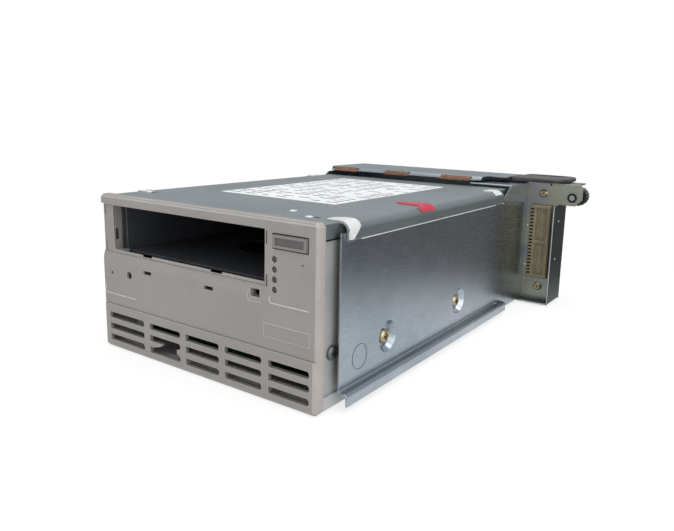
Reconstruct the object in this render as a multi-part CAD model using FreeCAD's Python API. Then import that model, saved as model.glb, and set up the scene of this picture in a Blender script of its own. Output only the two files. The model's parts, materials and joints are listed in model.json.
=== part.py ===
import FreeCAD, Part
import math
import os
from FreeCAD import Vector

# Data tape drive in its slide-in library tray.  Millimetres, +X to the drive's right,
# +Y to the rear, +Z up.  The pieces are laid out from the bezel: y = 0 is the bezel's
# front face, z = 0 its lower edge and x = 0 its middle.  save() then moves each piece
# to the hand-in frame, whose origin is the centre of the underside screw pattern.

# ---------------------------------------------------------------- driving dimensions
# Standard screw places of a drive of this size
bottomHoleSpan = 139.7      # left to right on the underside
firstHole = 52.9            # from the bezel's face to the front holes
holePitch = 79.25           # front to rear holes
sideHoleHeight = 22.9       # above the bezel's lower edge
holeRadius = 1.5

# Bezel
bezelHeight = 84.8
bezelDepth = 5.5
bezelWall = 2.4
bezelEdge = 1.8             # chamfer round the bezel's face
bezelLip = 1.1              # bezel stands past the drive's top and bottom
faceStep = 0.6              # the plain upper face lies this far behind the grille
grilleTop = 24.9            # top of the grille section
grooveDepth = 0.5           # line between the grille section and the plain face

# Drive body
holeInset = 3.15            # underside holes to the drive's side
driveLength = 200.5         # behind the bezel
wall = 1.5                  # side walls of the casting
castFloor = 2.0
castEdge = 0.6              # chamfer along the casting's long edges
sheet = 0.8                 # covers and other light sheet
skirtBottomTop = 7.2        # upper edge of the lower cover's skirt

# Cartridge opening and what stands round it
mouthSide = 6.9             # drive's left side to the bezel's mouth
bayLeftSide = 11.0          # drive's sides to the bay that the cartridge slides into
bayRightSide = 28.5
openHeight = 23.8
openDown = 6.0              # bezel's upper edge to the opening
sleeveWall = 1.4
sleeveBack = 8.2
recessDepth = 2.2

# Grille
slotRows = 3
slotHeight = 3.4
rowPitch = 6.3
lowestRow = 4.4
slotColumns = ((-69.0, -40.0), (-35.5, -12.0), (-8.0, 15.4), (19.3, 42.6), (46.8, 70.2))

# Button and lamps
buttonWidth = 19.2
buttonSide = 5.7            # bezel's right edge to the button
buttonHeight = 6.1
buttonDown = 7.1            # bezel's upper edge to the button
buttonGap = 0.5
buttonProud = 0.9
buttonTravel = 1.5
lampPitch = 4.55
lampRadius = 1.5
boardThick = 1.6

# Tray
sideClear = 3.0             # drive's side to the tray's side plate
plate = 1.0                 # tray sheet
plateFront = 12.5
rearReach = 52.0            # tray's back wall behind the drive
ledgeHeight = 8.5
ledgeReach = 4.6
lipBottom = 2.6
dishRadius = 8.4
dishFloorRadius = 6.2
dishSides = 24
dishRise = 0.6              # dish's middle above its screw
hoodRise = 6.3              # rear hood above the drive
gripThick = 2.8             # moulded grip beside the hood
rollRadius = 4.0
rollFront = 16.0
rollDrop = 8.2              # cover's top to the roll's lower edge
hem = 0.35                  # lip turned out along the roll's lower edge

# Connector box at the tray's rear right corner
boxWidth = 22.6
boxBottom = 1.3
bracketBottom = 4.6
earReach = 38.1             # ear's end to the tray's side plate
earHeight = 15.0
connWidth = 15.0
connSide = 3.4              # tray's side plate to the connector
connBottom = 18.8

# Mechanism
deckBottom = 36.0
deckThick = 3.0
supplyY = 66.0
takeupRadius = 37.5
liftTravel = 11.0
camTravel = 14.0
running = 0.05              # radial running clearance of shafts
gap = 0.3                   # clearance between bodies that pass each other

# ---------------------------------------------------------------- derived places
driveWidth = bottomHoleSpan + 2.0 * holeInset
bezelWidth = driveWidth + 2.4
halfDrive = driveWidth / 2.0
driveBottom = bezelLip
driveTop = bezelHeight - bezelLip
driveRear = bezelDepth + driveLength
openTop = bezelHeight - openDown
openBottom = openTop - openHeight
openLeft = bayLeftSide - halfDrive
openRight = halfDrive - bayRightSide
mouthLeft = mouthSide - halfDrive
sillBottom = openBottom - 5.6
buttonRight = bezelWidth / 2.0 - buttonSide
buttonLeft = buttonRight - buttonWidth
lampX = buttonLeft + 0.6
buttonTop = bezelHeight - buttonDown
buttonBottom = buttonTop - buttonHeight
lampZ = [openBottom - 2.1 + lampPitch * i for i in range(4)]
boardFront = bezelDepth + 4.1           # face of the small board behind the button and lamps
switchFront = boardFront - 1.1
plateIn = halfDrive + sideClear
plateOut = plateIn + plate
wallIn = halfDrive - wall
coverUnder = driveTop - sheet
castBottom = driveBottom + sheet
floorTop = castBottom + castFloor
deckTop = deckBottom + deckThick
reelX = 0.5 * (openLeft + openRight)
takeupY = driveRear - 45.0
rearHole = firstHole + holePitch
rollRear = driveRear - 14.0
rollBottom = driveTop - rollDrop
flangeEnd = driveRear - 8.0
cageFront = driveRear + 2.0
hoodFront = driveRear + 6.0
plateRear = driveRear + rearReach
panelFront = plateRear - plate
hoodTop = driveTop + hoodRise
hoodRight = halfDrive - 7.0
cageTop = hoodTop - 4.0
plateTop = coverUnder - 3.6             # side plates' upper edge, inside the roll
earTop = hoodTop - gripThick - 0.2
earBottom = earTop - earHeight
earEnd = plateOut + earReach
boxRight = plateOut + boxWidth
boxFront = plateRear - 26.6
boxTop = earBottom - 0.4
bracketFace = plateRear - 18.4
connLeft = plateOut + connSide
connRight = connLeft + connWidth
connTop = boxTop - 0.4
boardFace = plateRear - 8.6             # front of the interface board the connector stands on
shift = Vector(0, -(firstHole + rearHole) / 2.0, -castBottom)


# ---------------------------------------------------------------- building helpers
def block(x0, x1, y0, y1, z0, z1):
    return Part.makeBox(x1 - x0, y1 - y0, z1 - z0, Vector(x0, y0, z0))


AXES = {"X": Vector(1, 0, 0), "Y": Vector(0, 1, 0), "Z": Vector(0, 0, 1)}


def rod(axis, radius, start, end, a, b):
    """Cylinder along an axis; a and b are its place on the other two, in X, Y, Z order."""
    base = {"X": Vector(start, a, b), "Y": Vector(a, start, b), "Z": Vector(a, b, start)}[axis]
    return Part.makeCylinder(radius, end - start, base, AXES[axis])


def manySided(axis, sides, radius, start, end, a, b):
    """Regular prism along an axis, radius to its corners: hexagon heads, studs, light drums."""
    outline = [(a + radius * math.cos(2.0 * math.pi * (i + 0.5) / sides),
                b + radius * math.sin(2.0 * math.pi * (i + 0.5) / sides)) for i in range(sides)]
    return prism(axis, outline, start, end)


def flatBore(axis, sides, radius, start, end, a, b):
    """Many-sided bore or socket that clears a shaft of the given radius."""
    return manySided(axis, sides, radius / math.cos(math.pi / sides), start, end, a, b)


def place(axis, u, v, w):
    """Point with u, v across the axis and w along it."""
    return {"X": Vector(w, u, v), "Y": Vector(u, w, v), "Z": Vector(u, v, w)}[axis]


def prism(axis, outline, start, end):
    """Straight-sided outline, given across the axis, drawn out along it."""
    points = [place(axis, u, v, start) for u, v in outline]
    face = Part.Face(Part.makePolygon(points + points[:1]))
    return face.extrude(AXES[axis] * (end - start))


def taperedDrum(axis, sides, r0, r1, start, end, a, b):
    """Many-sided drum whose radius runs from r0 at its start to r1 at its end."""
    rings = []
    for radius, along in ((r0, start), (r1, end)):
        ring = [place(axis, a + radius * math.cos(2.0 * math.pi * i / sides),
                      b + radius * math.sin(2.0 * math.pi * i / sides), along) for i in range(sides)]
        rings.append(Part.makePolygon(ring + ring[:1]))
    return Part.makeLoft(rings, True, True)


def bentSheet(axis, path, thick, radius, start, end):
    """Sheet of even thickness folded along a path; radius is the middle of each bend, 0 a sharp one."""
    sides = []
    for offset in (thick / 2.0, -thick / 2.0):
        steps = []
        for i, point in enumerate(path):
            here = Vector(point[0], point[1], 0)
            into = here - Vector(path[i - 1][0], path[i - 1][1], 0) if i else None
            out = Vector(path[i + 1][0], path[i + 1][1], 0) - here if i < len(path) - 1 else None
            for step in (into, out):
                if step:
                    step.normalize()
            if into is None or out is None:
                along = out or into
                steps.append((here + Vector(-along.y, along.x, 0) * offset,))
                continue
            turn = math.atan2(into.x * out.y - into.y * out.x, into.dot(out))
            if not radius:
                mitre = Vector(-into.y - out.y, into.x + out.x, 0).normalize()
                steps.append((here + mitre * (offset / math.cos(turn / 2.0)),))
                continue
            reach = radius * math.tan(abs(turn) / 2.0)
            side = 1.0 if turn > 0 else -1.0
            normal = Vector(-into.y, into.x, 0)
            centre = here - into * reach + normal * (side * radius)
            bend = radius - side * offset
            first = centre - normal * (side * bend)
            last = centre - Vector(-out.y, out.x, 0) * (side * bend)
            middle = (first + last) * 0.5 - centre
            steps.append((first, centre + middle.normalize() * bend, last))
        sides.append(steps)
    edges = []
    far = [tuple(reversed(step)) for step in reversed(sides[1])]
    previous = None
    for step in sides[0] + far:
        spots = [place(axis, p.x, p.y, start) for p in step]
        if previous is not None:
            edges.append(Part.LineSegment(previous, spots[0]).toShape())
        if len(spots) == 3:
            edges.append(Part.Arc(*spots).toShape())
        previous = spots[-1]
    opening = sides[0][0][0]
    edges.append(Part.LineSegment(previous, place(axis, opening.x, opening.y, start)).toShape())
    face = Part.Face(Part.Wire(edges))
    return face.extrude(AXES[axis] * (end - start))


def join(*shapes):
    return shapes[0].multiFuse(list(shapes[1:])).removeSplitter()


def without(shape, *tools):
    return shape.cut(list(tools))


def rounded(shape, radius, chosen):
    """Fillet the edges for which chosen(centre, bounding box) holds."""
    edges = [e for e in shape.Edges if chosen(e.CenterOfMass, e.BoundBox)]
    return shape.makeFillet(radius, edges)


def slot(axis, u0, u1, v0, v1, start, end, clip):
    """Cutter for an opening with clipped corners."""
    return prism(axis, ((u0 + clip, v0), (u1 - clip, v0), (u1, v0 + clip), (u1, v1 - clip),
                        (u1 - clip, v1), (u0 + clip, v1), (u0, v1 - clip), (u0, v0 + clip)), start, end)


def panScrew(axis, seat, way, a, b, headRadius, headHeight, shankRadius, shankLength):
    """Pan-head screw; way is +1 when the head points up the axis."""
    top = seat + way * headHeight
    end = seat - way * shankLength
    head = manySided(axis, 8, headRadius, min(seat, top), max(seat, top), a, b)
    shank = manySided(axis, 6, shankRadius, min(seat, end), max(seat, end), a, b)
    return join(head, shank)


def gear(axis, teeth, module, thick, start, a, b, bore, backlash=0.16, phase=0.0):
    """Spur gear with straight-flanked teeth."""
    pitch = teeth * module / 2.0
    tip, root = pitch + 0.85 * module, pitch - 1.15 * module
    half = math.pi / teeth / 2.0 * (1.0 - backlash)
    tipHalf, rootHalf = half * 0.52, half * 1.45
    outline = []
    for i in range(teeth):
        at = phase + 2.0 * math.pi * i / teeth
        for radius, angle in ((root, -rootHalf), (tip, -tipHalf), (tip, tipHalf), (root, rootHalf)):
            outline.append((a + radius * math.cos(at + angle), b + radius * math.sin(at + angle)))
    body = prism(axis, outline, start, start + thick)
    return without(body, rod(axis, bore, start - 1, start + thick + 1, a, b)) if bore else body


def mirrored(shape):
    return shape.mirror(Vector(0, 0, 0), Vector(1, 0, 0))


def save(name, *shapes):
    body = shapes[0] if len(shapes) == 1 else Part.makeCompound(list(shapes))
    body = body.copy()
    body.translate(shift)
    body.exportStep("parts/%s.step" % name)


# ---------------------------------------------------------------- bezel and front panel
def bezel():
    half = bezelWidth / 2.0
    body = block(-half, half, 0, bezelDepth, 0, bezelHeight)
    body = body.makeChamfer(bezelEdge, [e for e in body.Edges if e.CenterOfMass.y < bezelDepth - 0.01])
    hollow = block(-half + 2.0, half - 2.0, bezelWall, bezelDepth + 1, 2.0, bezelHeight - 2.0)
    stepBack = block(-half - 1, half + 1, -1, faceStep, grilleTop, bezelHeight + 1)
    body = without(body, hollow, stepBack)
    # recess that a door would close, with its sloped sill
    back = faceStep + recessDepth
    recess = prism("X", ((0, sillBottom), (faceStep, sillBottom), (back, openBottom - 0.6),
                         (back, openTop + 0.8), (0, openTop + 0.8)), -half - 1, openRight)
    plug = block(-half, openRight, back - 0.01, back + bezelWall, sillBottom - 2.0, openTop + 2.0)
    sleeve = without(block(mouthLeft - sleeveWall, openRight + sleeveWall, faceStep + 0.4, sleeveBack,
                           openBottom - sleeveWall, openTop + sleeveWall), recess)
    body = join(body, plug, sleeve)
    mouth = block(mouthLeft, openRight, -1, sleeveBack + 1, openBottom, openTop)
    sill = block(mouthLeft + 6.0, openRight + sleeveWall + 1, back + 0.8, sleeveBack + 1,
                 openBottom - sleeveWall - 0.1, openBottom + 0.1)
    groove = block(-half - 1, half + 1, faceStep - 0.1, faceStep + grooveDepth, grilleTop, grilleTop + 0.5)
    sensor = block(mouthLeft - 3.0, mouthLeft + 1.0, 4.1, 6.3, openBottom + 5.0, openBottom + 11.0)
    slit = block(mouthLeft - 3.0, mouthLeft + 1.0, 3.5, 3.9, openBottom + 11.5, openTop - 0.5)
    cutters = [recess, mouth, sill, groove, sensor, slit]
    for x0, x1 in ((-42.6, -35.2), (7.6, 15.5)):             # steps in the sill's upper edge
        cutters.append(block(x0, x1, -1, sleeveBack + 1, openBottom - 1.0, openBottom + 1.0))
    for z0, z1 in ((openTop - 5.6, openTop - 0.2), (openBottom - 1.2, openBottom + 4.5)):   # door snap slots
        cutters.append(block(-half + 0.5, -half + 1.7, -1, bezelDepth + 1, z0, z1))
    for z0, z1 in ((openTop - 6.0, openTop - 0.2), (openBottom - 1.4, openBottom + 4.1)):   # and right of the mouth
        cutters.append(block(openRight + 0.5, openRight + 1.35, -1, sleeveBack + 1, z0, z1))
    for row in range(slotRows):
        low = lowestRow + row * rowPitch
        for x0, x1 in slotColumns:
            cutters.append(prism("Y", ((x0, low), (x1 - 0.9, low), (x1, low + 0.9), (x1, low + slotHeight - 0.9),
                                       (x1 - 0.9, low + slotHeight), (x0, low + slotHeight)),
                                 -1, bezelDepth + 1))
    # the slat between the two lower slots of the second column is broken away
    cutters.append(prism("Y", ((-31.5, lowestRow + 2.0), (-14.5, lowestRow + 2.0), (-14.5, 10.9),
                               (-25.0, 11.4), (-27.5, 9.0), (-31.5, 8.2)), -1, bezelDepth + 1))
    cutters.append(block(buttonLeft - buttonGap, buttonRight + buttonGap, -1, bezelDepth + 1,
                         buttonBottom - buttonGap, buttonTop + buttonGap))
    for z in lampZ:
        cutters.append(flatBore("Y", 10, lampRadius, -1, bezelDepth + 1, lampX, z))
    cutters.append(manySided("Y", 6, 0.55, -1, bezelDepth + 1, buttonRight - 2.8, buttonBottom - 5.6))
    cutters.append(manySided("Y", 8, 1.1, -1, bezelDepth + 1, -66.2, sillBottom - 7.0))
    cutters.append(manySided("Y", 10, 2.1, -1, bezelDepth + 1, -51.6, sillBottom - 6.5))
    for x0 in (-39.8, 5.3):
        cutters.append(block(x0, x0 + 6.3, -1, bezelDepth + 1, sillBottom - 3.8, sillBottom - 1.9))
    cutters.append(block(35.1, 40.5, -1, bezelDepth + 1, sillBottom - 1.8, sillBottom + 1.8))
    bevel = [Part.makePolygon([Vector(37.8 + u * h, y, sillBottom + v * h) for u, v in
                               ((-1, -1), (1, -1), (1, 1), (-1, 1), (-1, -1))])
             for y, h in ((faceStep - 0.01, 3.8), (faceStep + 1.1, 2.5))]
    cutters.append(Part.makeLoft(bevel, True, True))
    body = without(body, *cutters)
    ridge = faceStep - 0.3
    trims = [block(47.3, 47.8, ridge, faceStep + 0.1, 46.9, 49.8),
             block(47.3, 69.2, ridge, faceStep + 0.1, 46.5, 47.0),
             block(-71.8, -71.3, ridge, faceStep + 0.1, 31.0, 36.0),
             block(-71.8, -46.0, ridge, faceStep + 0.1, 30.7, 31.2)]
    frame = without(block(43.4, 70.0, ridge, faceStep + 0.1, 30.6, 37.0),
                    block(43.9, 69.5, ridge - 1, faceStep + 1, 31.1, 36.5))
    return join(body, frame, *trims)


def ejectButton():
    back = bezelDepth - 1.0
    cap = block(buttonLeft, buttonRight, faceStep - buttonProud, back, buttonBottom, buttonTop)
    cap = rounded(cap, 0.6, lambda c, b: c.y < faceStep - buttonProud + 0.01)
    dish = block(buttonLeft + 1.6, buttonRight - 1.6, faceStep - buttonProud - 1,
                 faceStep - buttonProud + 0.5, buttonBottom + 1.4, buttonTop - 1.4)
    cap = without(cap, dish)
    middle, height = 0.5 * (buttonLeft + buttonRight), 0.5 * (buttonBottom + buttonTop)
    stem = manySided("Y", 8, 1.7, back, switchFront - gap - buttonTravel, middle, height)
    return join(cap, stem)


def panelBoard():
    board = block(openRight + 2.7, wallIn - 0.3, boardFront, boardFront + boardThick, openBottom - 13.0, driveTop - 3.2)
    lamps = [block(lampX - 0.8, lampX + 0.8, boardFront - 1.6, boardFront, z - 0.8, z + 0.8) for z in lampZ]
    middle, height = 0.5 * (buttonLeft + buttonRight), 0.5 * (buttonBottom + buttonTop)
    switch = block(middle - 3, middle + 3, switchFront, boardFront, height - 3, height + 3)
    return join(board, switch, *lamps)


def lampPipes():
    pipes = []
    for z in lampZ:
        pipes.append(manySided("Y", 10, lampRadius, faceStep + 0.7, boardFront - 1.6, lampX, z))
    return pipes


# ---------------------------------------------------------------- drive casing
columnPlaces = [(s * (halfDrive - 4.1), y) for s in (-1, 1) for y in (20.0, driveRear - 12.0)]
standPlaces = [(s * (halfDrive - 19.0), y) for s in (-1, 1) for y in (24.0, 0.5 * driveRear, driveRear - 16.0)]
coverScrewY, coverScrewZ = 11.8, 26.4
boardBottom = 8.0


def chassis():
    """Cast tray of the drive: floor, side walls, rear wall, deck ledges and board stands."""
    z0, z1 = castBottom, coverUnder
    outer = slot("Y", -halfDrive, halfDrive, z0, z1, bezelDepth, driveRear, castEdge)
    inner = block(-wallIn, wallIn, bezelDepth - 1, driveRear - wall, floorTop, z1 + 1)
    body = without(outer, inner)
    ledges = [block(s * wallIn - (3.0 if s > 0 else 0), s * wallIn + (0 if s > 0 else 3.0),
                    12.0, driveRear - wall, deckBottom - 4.0, deckBottom) for s in (-1, 1)]
    columns = [manySided("Z", 8, 3.2, floorTop - 0.5, deckBottom, x, y) for x, y in columnPlaces]
    stands = [manySided("Z", 6, 2.8, floorTop - 0.5, boardBottom, x, y) for x, y in standPlaces]
    body = join(body, *(ledges + columns + stands))
    tools = []
    for x, y in columnPlaces:
        tools.append(manySided("Z", 6, 1.1, deckBottom - 6.0, deckBottom + 1, x, y))
    for y in (firstHole, rearHole):
        tools.append(flatBore("X", 10, holeRadius, -halfDrive - 1, halfDrive + 1, y, sideHoleHeight))
        for s in (-1, 1):
            tools.append(rod("Z", holeRadius, z0 - 1, floorTop + 1, s * bottomHoleSpan / 2.0, y))
    for s in (-1, 1):                                        # cover screws near the bezel
        tools.append(manySided("X", 6, 1.3, s * halfDrive - 2, s * halfDrive + 2, coverScrewY, coverScrewZ))
    tools.append(block(-47.0, 5.0, driveRear - wall - 1, driveRear + 1, 9.0, 19.0))
    tools.append(block(18.0, 44.0, driveRear - wall - 1, driveRear + 1, 9.0, 22.0))
    for i in range(7):                                       # rear breathing slots
        tools.append(block(-52.0 + 16.0 * i, -41.0 + 16.0 * i, driveRear - wall - 1, driveRear + 1,
                           46.0, 49.0))
    return without(body, *tools)


def bottomCover():
    x = halfDrive + sheet / 2.0
    z = driveBottom + sheet / 2.0
    body = bentSheet("Y", ((-x, skirtBottomTop), (-x, z), (x, z), (x, skirtBottomTop)),
                     sheet, 0, bezelDepth, driveRear)
    tools = [manySided("Z", 8, 3.2, 0, castBottom + 1, s * bottomHoleSpan / 2.0, y)
             for s in (-1, 1) for y in (firstHole, rearHole)]
    return without(body, *tools)


skirtTopBottom = coverUnder - 5.7
tabFront, tabRear = 81.0, 99.0


def topCover():
    """Sheet over the whole drive; its long edges are rolled down over the tray's plates."""
    middle = sheet / 2.0
    top = driveTop - middle
    tight = halfDrive + middle
    wide = plateOut + middle
    front = bentSheet("Y", ((-tight, skirtTopBottom), (-tight, top), (tight, top), (tight, skirtTopBottom)),
                      sheet, 0, bezelDepth, driveRear)
    roll = bentSheet("Y", ((-wide, rollBottom), (-wide, top), (wide, top), (wide, rollBottom)),
                     sheet, rollRadius - middle, rollFront, rollRear)
    clearSides = [block(s * (halfDrive + 1.6) - 1.7, s * (halfDrive + 1.6) + 1.7, rollFront, rollRear,
                        rollBottom - 5.0, coverUnder - 0.001) for s in (-1, 1)]
    out = plateOut + sheet
    hemRight = prism("Y", ((out - 0.2, rollBottom), (out + hem, rollBottom), (out + hem, rollBottom + 0.25),
                           (out - 0.2, rollBottom + 0.6)), rollFront, rollRear)
    body = join(without(front, *clearSides), roll, hemRight, mirrored(hemRight))
    bead = prism("X", ((52.4, driveTop - 0.3), (53.0, driveTop + 0.25), (53.4, driveTop + 0.25),
                       (54.0, driveTop - 0.3)), 39.0, 67.0)
    tools = [block(57.0, 60.5, 17.6, 20.6, coverUnder - 1, driveTop + 1),
             block(-66.0, -62.5, 26.5, 30.0, coverUnder - 1, driveTop + 1),
             manySided("Z", 8, 1.3, coverUnder - 1, driveTop + 1, 37.4, 23.7)]
    for y in (tabFront - 1.6, tabRear - 3.2):
        tools.append(block(plateOut - 2.2, plateOut - 0.6, y, y + 1.4, coverUnder - 1, driveTop + 1))
    return without(join(body, bead), *tools)


def overRoll(reach, drop, thick, y0, y1):
    """Thin strap that lies on the cover's top and drop far down its rolled right edge."""
    out = plateOut + sheet + thick / 2.0
    top = driveTop + thick / 2.0
    strap = bentSheet("Y", ((plateOut - reach, top), (out, top), (out, rollBottom)), thick,
                      rollRadius + thick / 2.0, y0, y1)
    return without(strap, block(plateOut - 9.0, out + 1, y0 - 1, y1 + 1, rollBottom - 1, driveTop - drop))


def coverClips():
    """Moulded clips on the cover's rolled edges: long tapered ones at the front right, small ones elsewhere."""
    y0, y1 = rollFront + 0.5, rollFront + 9.5
    front = overRoll(11.0, 7.4, 0.7, y0, y1)
    taper = prism("X", ((y0 + 1.6, rollBottom - 1), (y1 + 1, rollBottom - 1), (y1 + 1, driveTop - 1.0)),
                  plateOut - 9.0, plateOut + 9.0)
    corner = prism("Z", ((plateOut - 12.0, y0 + 4.0), (plateOut - 6.5, y1 + 1), (plateOut - 12.0, y1 + 1)),
                   driveTop - 1, driveTop + 2)
    small = [overRoll(7.0, 2.0, 0.7, y, y + 8.0) for y in (rollFront + 10.0, rollRear - 13.0)]
    return [without(front, taper, corner), overRoll(8.0, 2.0, 0.7, rollRear - 14.0, rollRear - 4.0),
            mirrored(small[0]), mirrored(small[1])]


def redTab():
    """Thin adhesive tab: a pointed band on the cover's top with a short tongue over the edge."""
    strap = overRoll(19.5, 2.4, 0.5, tabFront, tabRear)
    inner = plateOut - 20.0
    point = prism("Z", ((inner, tabFront - 1), (plateOut - 1.5, tabFront - 1), (plateOut - 3.4, tabFront + 4.0),
                        (inner + 4.0, tabFront + 5.0), (inner, tabFront + 9.0)), driveTop - 2, driveTop + 1)
    rear = prism("Z", ((inner, tabRear - 7.0), (plateOut - 3.0, tabRear - 1.0), (plateOut - 3.0, tabRear + 1),
                       (inner, tabRear + 1)), driveTop - 2, driveTop + 1)
    heel = block(plateOut - 4.0, plateOut + 3.0, tabRear - 3.5, tabRear + 1, driveTop - 5, driveTop + 1)
    return without(strap, point, rear, heel)


def topLabel():
    return slot("Z", -43.5, 39.2, 59.0, driveRear - 24.0, driveTop, driveTop + 0.15, 0.8)


# ---------------------------------------------------------------- electronics
def mainBoard():
    half = halfDrive - 13.0
    body = block(-half, half, 14.0, driveRear - wall - 1.0, boardBottom, boardBottom + boardThick)
    return without(body, *[manySided("Z", 6, 1.3, 0, 20, x, y) for x, y in standPlaces])


def boardChips():
    top = boardBottom + boardThick
    chips = []
    for x, y, size, height in ((-30, 60, 27, 2.4), (10, 60, 22, 2.0), (10, 96, 18, 1.8),
                               (-30, 100, 14, 1.4), (-30, 126, 14, 1.4), (30, 130, 20, 2.2)):
        chips.append(block(x - size / 2, x + size / 2, y - size / 2, y + size / 2, top, top + height))
    for x in (-50, -42, 44, 52):
        chips.append(manySided("Z", 10, 3.1, top, top + 9.0, x, 160.0))
    return chips


def boardScrews():
    top = boardBottom + boardThick
    return [panScrew("Z", top, 1, x, y, 2.3, 1.5, 1.2, boardThick) for x, y in standPlaces]


def dataConnector():
    """Two-row shrouded connector at the drive's rear."""
    z = boardBottom + boardThick
    shell = prism("Y", ((-46.5, z), (4.5, z), (4.5, z + 7.0), (3.0, z + 8.6), (-45.0, z + 8.6),
                        (-46.5, z + 7.0)), driveRear - 14.0, driveRear + 3.0)
    mouth = block(-43.5, 1.5, driveRear - 5.0, driveRear + 4.0, z + 2.0, z + 6.6)
    tongue = block(-42.0, 0.0, driveRear - 5.5, driveRear + 2.0, z + 3.7, z + 4.9)
    return join(without(shell, mouth), tongue)


def powerConnector():
    z = boardBottom + boardThick
    shell = block(19.0, 43.0, driveRear - 14.0, driveRear + 3.0, z, z + 11.0)
    mouth = block(20.5, 41.5, driveRear - 6.0, driveRear + 4.0, z + 1.8, z + 9.4)
    pins = [manySided("Y", 6, 1.05, driveRear - 7.0, driveRear + 1.5, 23.4 + 5.08 * i, z + 5.6)
            for i in range(4)]
    return join(without(shell, mouth), *pins)


# ---------------------------------------------------------------- deck and tape drive motors
headX, headY = wallIn - 15.5, takeupY - 16.0
rollerPlaces = ((headX - 26.0, headY - 20.0), (headX - 4.5, headY - 17.5),
                (headX - 4.5, headY + 18.0), (headX - 20.0, headY + 34.0))
guidePlaces = ((openLeft - 4.5, 14.0), (openRight + 4.9, 14.0), (openLeft - 4.5, 117.6), (openRight + 4.9, 117.6))
guideRadius = 1.5
postTop = openTop + 0.7
camY = (40.0, 90.0)
camTop = openBottom + 7.0
camZ = openBottom + 2.5
pinRadius = 1.5
rackModule = 1.0
wheelTeeth, pinionTeeth = 16, 8
wheelY = 60.0
rackLine = camTop + 1.15 * rackModule
wheelZ = rackLine + wheelTeeth * rackModule / 2.0
pinionY = wheelY + (wheelTeeth + pinionTeeth) * rackModule / 2.0
carrierLeft, carrierRight = openLeft - 1.5, openRight + 1.5
camRightX = carrierRight + 1.5
camLeftX = carrierLeft - 1.5
camThick = 1.5
barFront = 24.0


def deck():
    body = block(-wallIn + 0.3, wallIn - 0.3, 12.0, driveRear - wall - 0.3, deckBottom, deckTop)
    tools = [manySided("Z", 20, 15.3, deckBottom - 1, deckTop + 1, reelX, supplyY),
             manySided("Z", 20, 8.8, deckBottom - 1, deckTop + 1, reelX, takeupY),
             manySided("Z", 8, 2.6, deckBottom - 1, deckTop + 1, headX + 5.0, headY)]
    tools += [manySided("Z", 6, 1.3, deckBottom - 1, deckTop + 1, x, y) for x, y in columnPlaces]
    return without(body, *tools)


def guidePosts():
    """Posts on the deck that the cartridge carrier rides up and down on."""
    return [manySided("Z", 12, guideRadius, deckTop, postTop, x, y) for x, y in guidePlaces]


def deckScrews():
    return [panScrew("Z", deckTop, 1, x, y, 2.2, 1.5, 1.0, 7.0) for x, y in columnPlaces]


def reelMotor(y, radius, noseRadius, drop):
    """Flat motor hung under the deck, with its bearing nose in the deck's hole."""
    can = manySided("Z", 28, radius, deckBottom - drop, deckBottom, reelX, y)
    nose = manySided("Z", 20, noseRadius, deckBottom - 1, deckTop - 0.4, reelX, y)
    return without(join(can, nose), rod("Z", 3.0 + running, deckBottom - drop + 2.0, deckTop, reelX, y))


supplyDrop, takeupDrop = 13.0, 14.0


def supplyChuck():
    """Driven disc with a ring of radial face teeth that picks up the cartridge's reel."""
    low = deckTop + 0.1
    disc = manySided("Z", 20, 14.0, low, low + 3.0, reelX, supplyY)
    teeth = []
    for i in range(12):
        wedge = prism("Z", ((reelX + 9.0, supplyY - 0.75), (reelX + 13.4, supplyY - 1.25),
                            (reelX + 13.4, supplyY + 1.25), (reelX + 9.0, supplyY + 0.75)),
                      low + 2.9, low + 4.6)
        wedge.rotate(Vector(reelX, supplyY, 0), Vector(0, 0, 1), 360.0 / 12 * i)
        teeth.append(wedge)
    nose = manySided("Z", 8, 4.6, low + 2.9, low + 6.0, reelX, supplyY)
    shaft = rod("Z", 3.0, deckBottom - supplyDrop + 2.3, low + 1.0, reelX, supplyY)
    return join(disc, nose, shaft, *teeth)


def takeupReel():
    """Empty take-up reel: flanges with windows, and a hub with the leader's notch."""
    low = deckTop + 1.6
    hub = manySided("Z", 20, 19.0, low, low + 15.0, reelX, takeupY)
    flanges = []
    for z in (low, low + 14.0):
        flange = manySided("Z", 30, takeupRadius, z, z + 1.2, reelX, takeupY)
        windows = []
        for i in range(3):
            window = prism("Z", ((reelX + 22.0, takeupY - 4.5), (reelX + 33.5, takeupY - 9.0),
                                 (reelX + 33.5, takeupY + 9.0), (reelX + 22.0, takeupY + 4.5)),
                           z - 1, z + 3)
            window.rotate(Vector(reelX, takeupY, 0), Vector(0, 0, 1), 120.0 * i + 30.0)
            windows.append(window)
        flanges.append(without(flange, *windows))
    notch = block(reelX - 3.2, reelX + 3.2, takeupY - 20.0, takeupY - 9.0, low + 1.2, low + 14.0)
    pocket = manySided("Z", 8, 9.0, low + 9.0, low + 16.0, reelX, takeupY)
    shaft = rod("Z", 3.0, deckBottom - takeupDrop + 2.3, low + 10.0, reelX, takeupY)
    return join(without(join(hub, *flanges), notch, pocket), shaft)


def guideRoller(x, y):
    low = deckTop + 5.0
    body = manySided("Z", 14, 4.2, low, low + 14.0, x, y)
    rims = [manySided("Z", 14, 5.0, z, z + 0.8, x, y) for z in (low, low + 13.2)]
    return without(join(body, *rims), rod("Z", 1.5 + running, low - 1, low + 20, x, y))


def rollerPosts():
    """Posts of the tape guides, each with a foot, and a cap that keeps its roller on."""
    posts = []
    for x, y in rollerPlaces:
        foot = manySided("Z", 6, 3.4, deckTop, deckTop + 4.8, x, y)
        post = manySided("Z", 14, 1.5, deckTop + 4.0, deckTop + 20.0, x, y)
        cap = manySided("Z", 6, 3.0, deckTop + 19.3, deckTop + 21.0, x, y)
        posts.append(join(foot, post, cap))
    return posts


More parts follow.
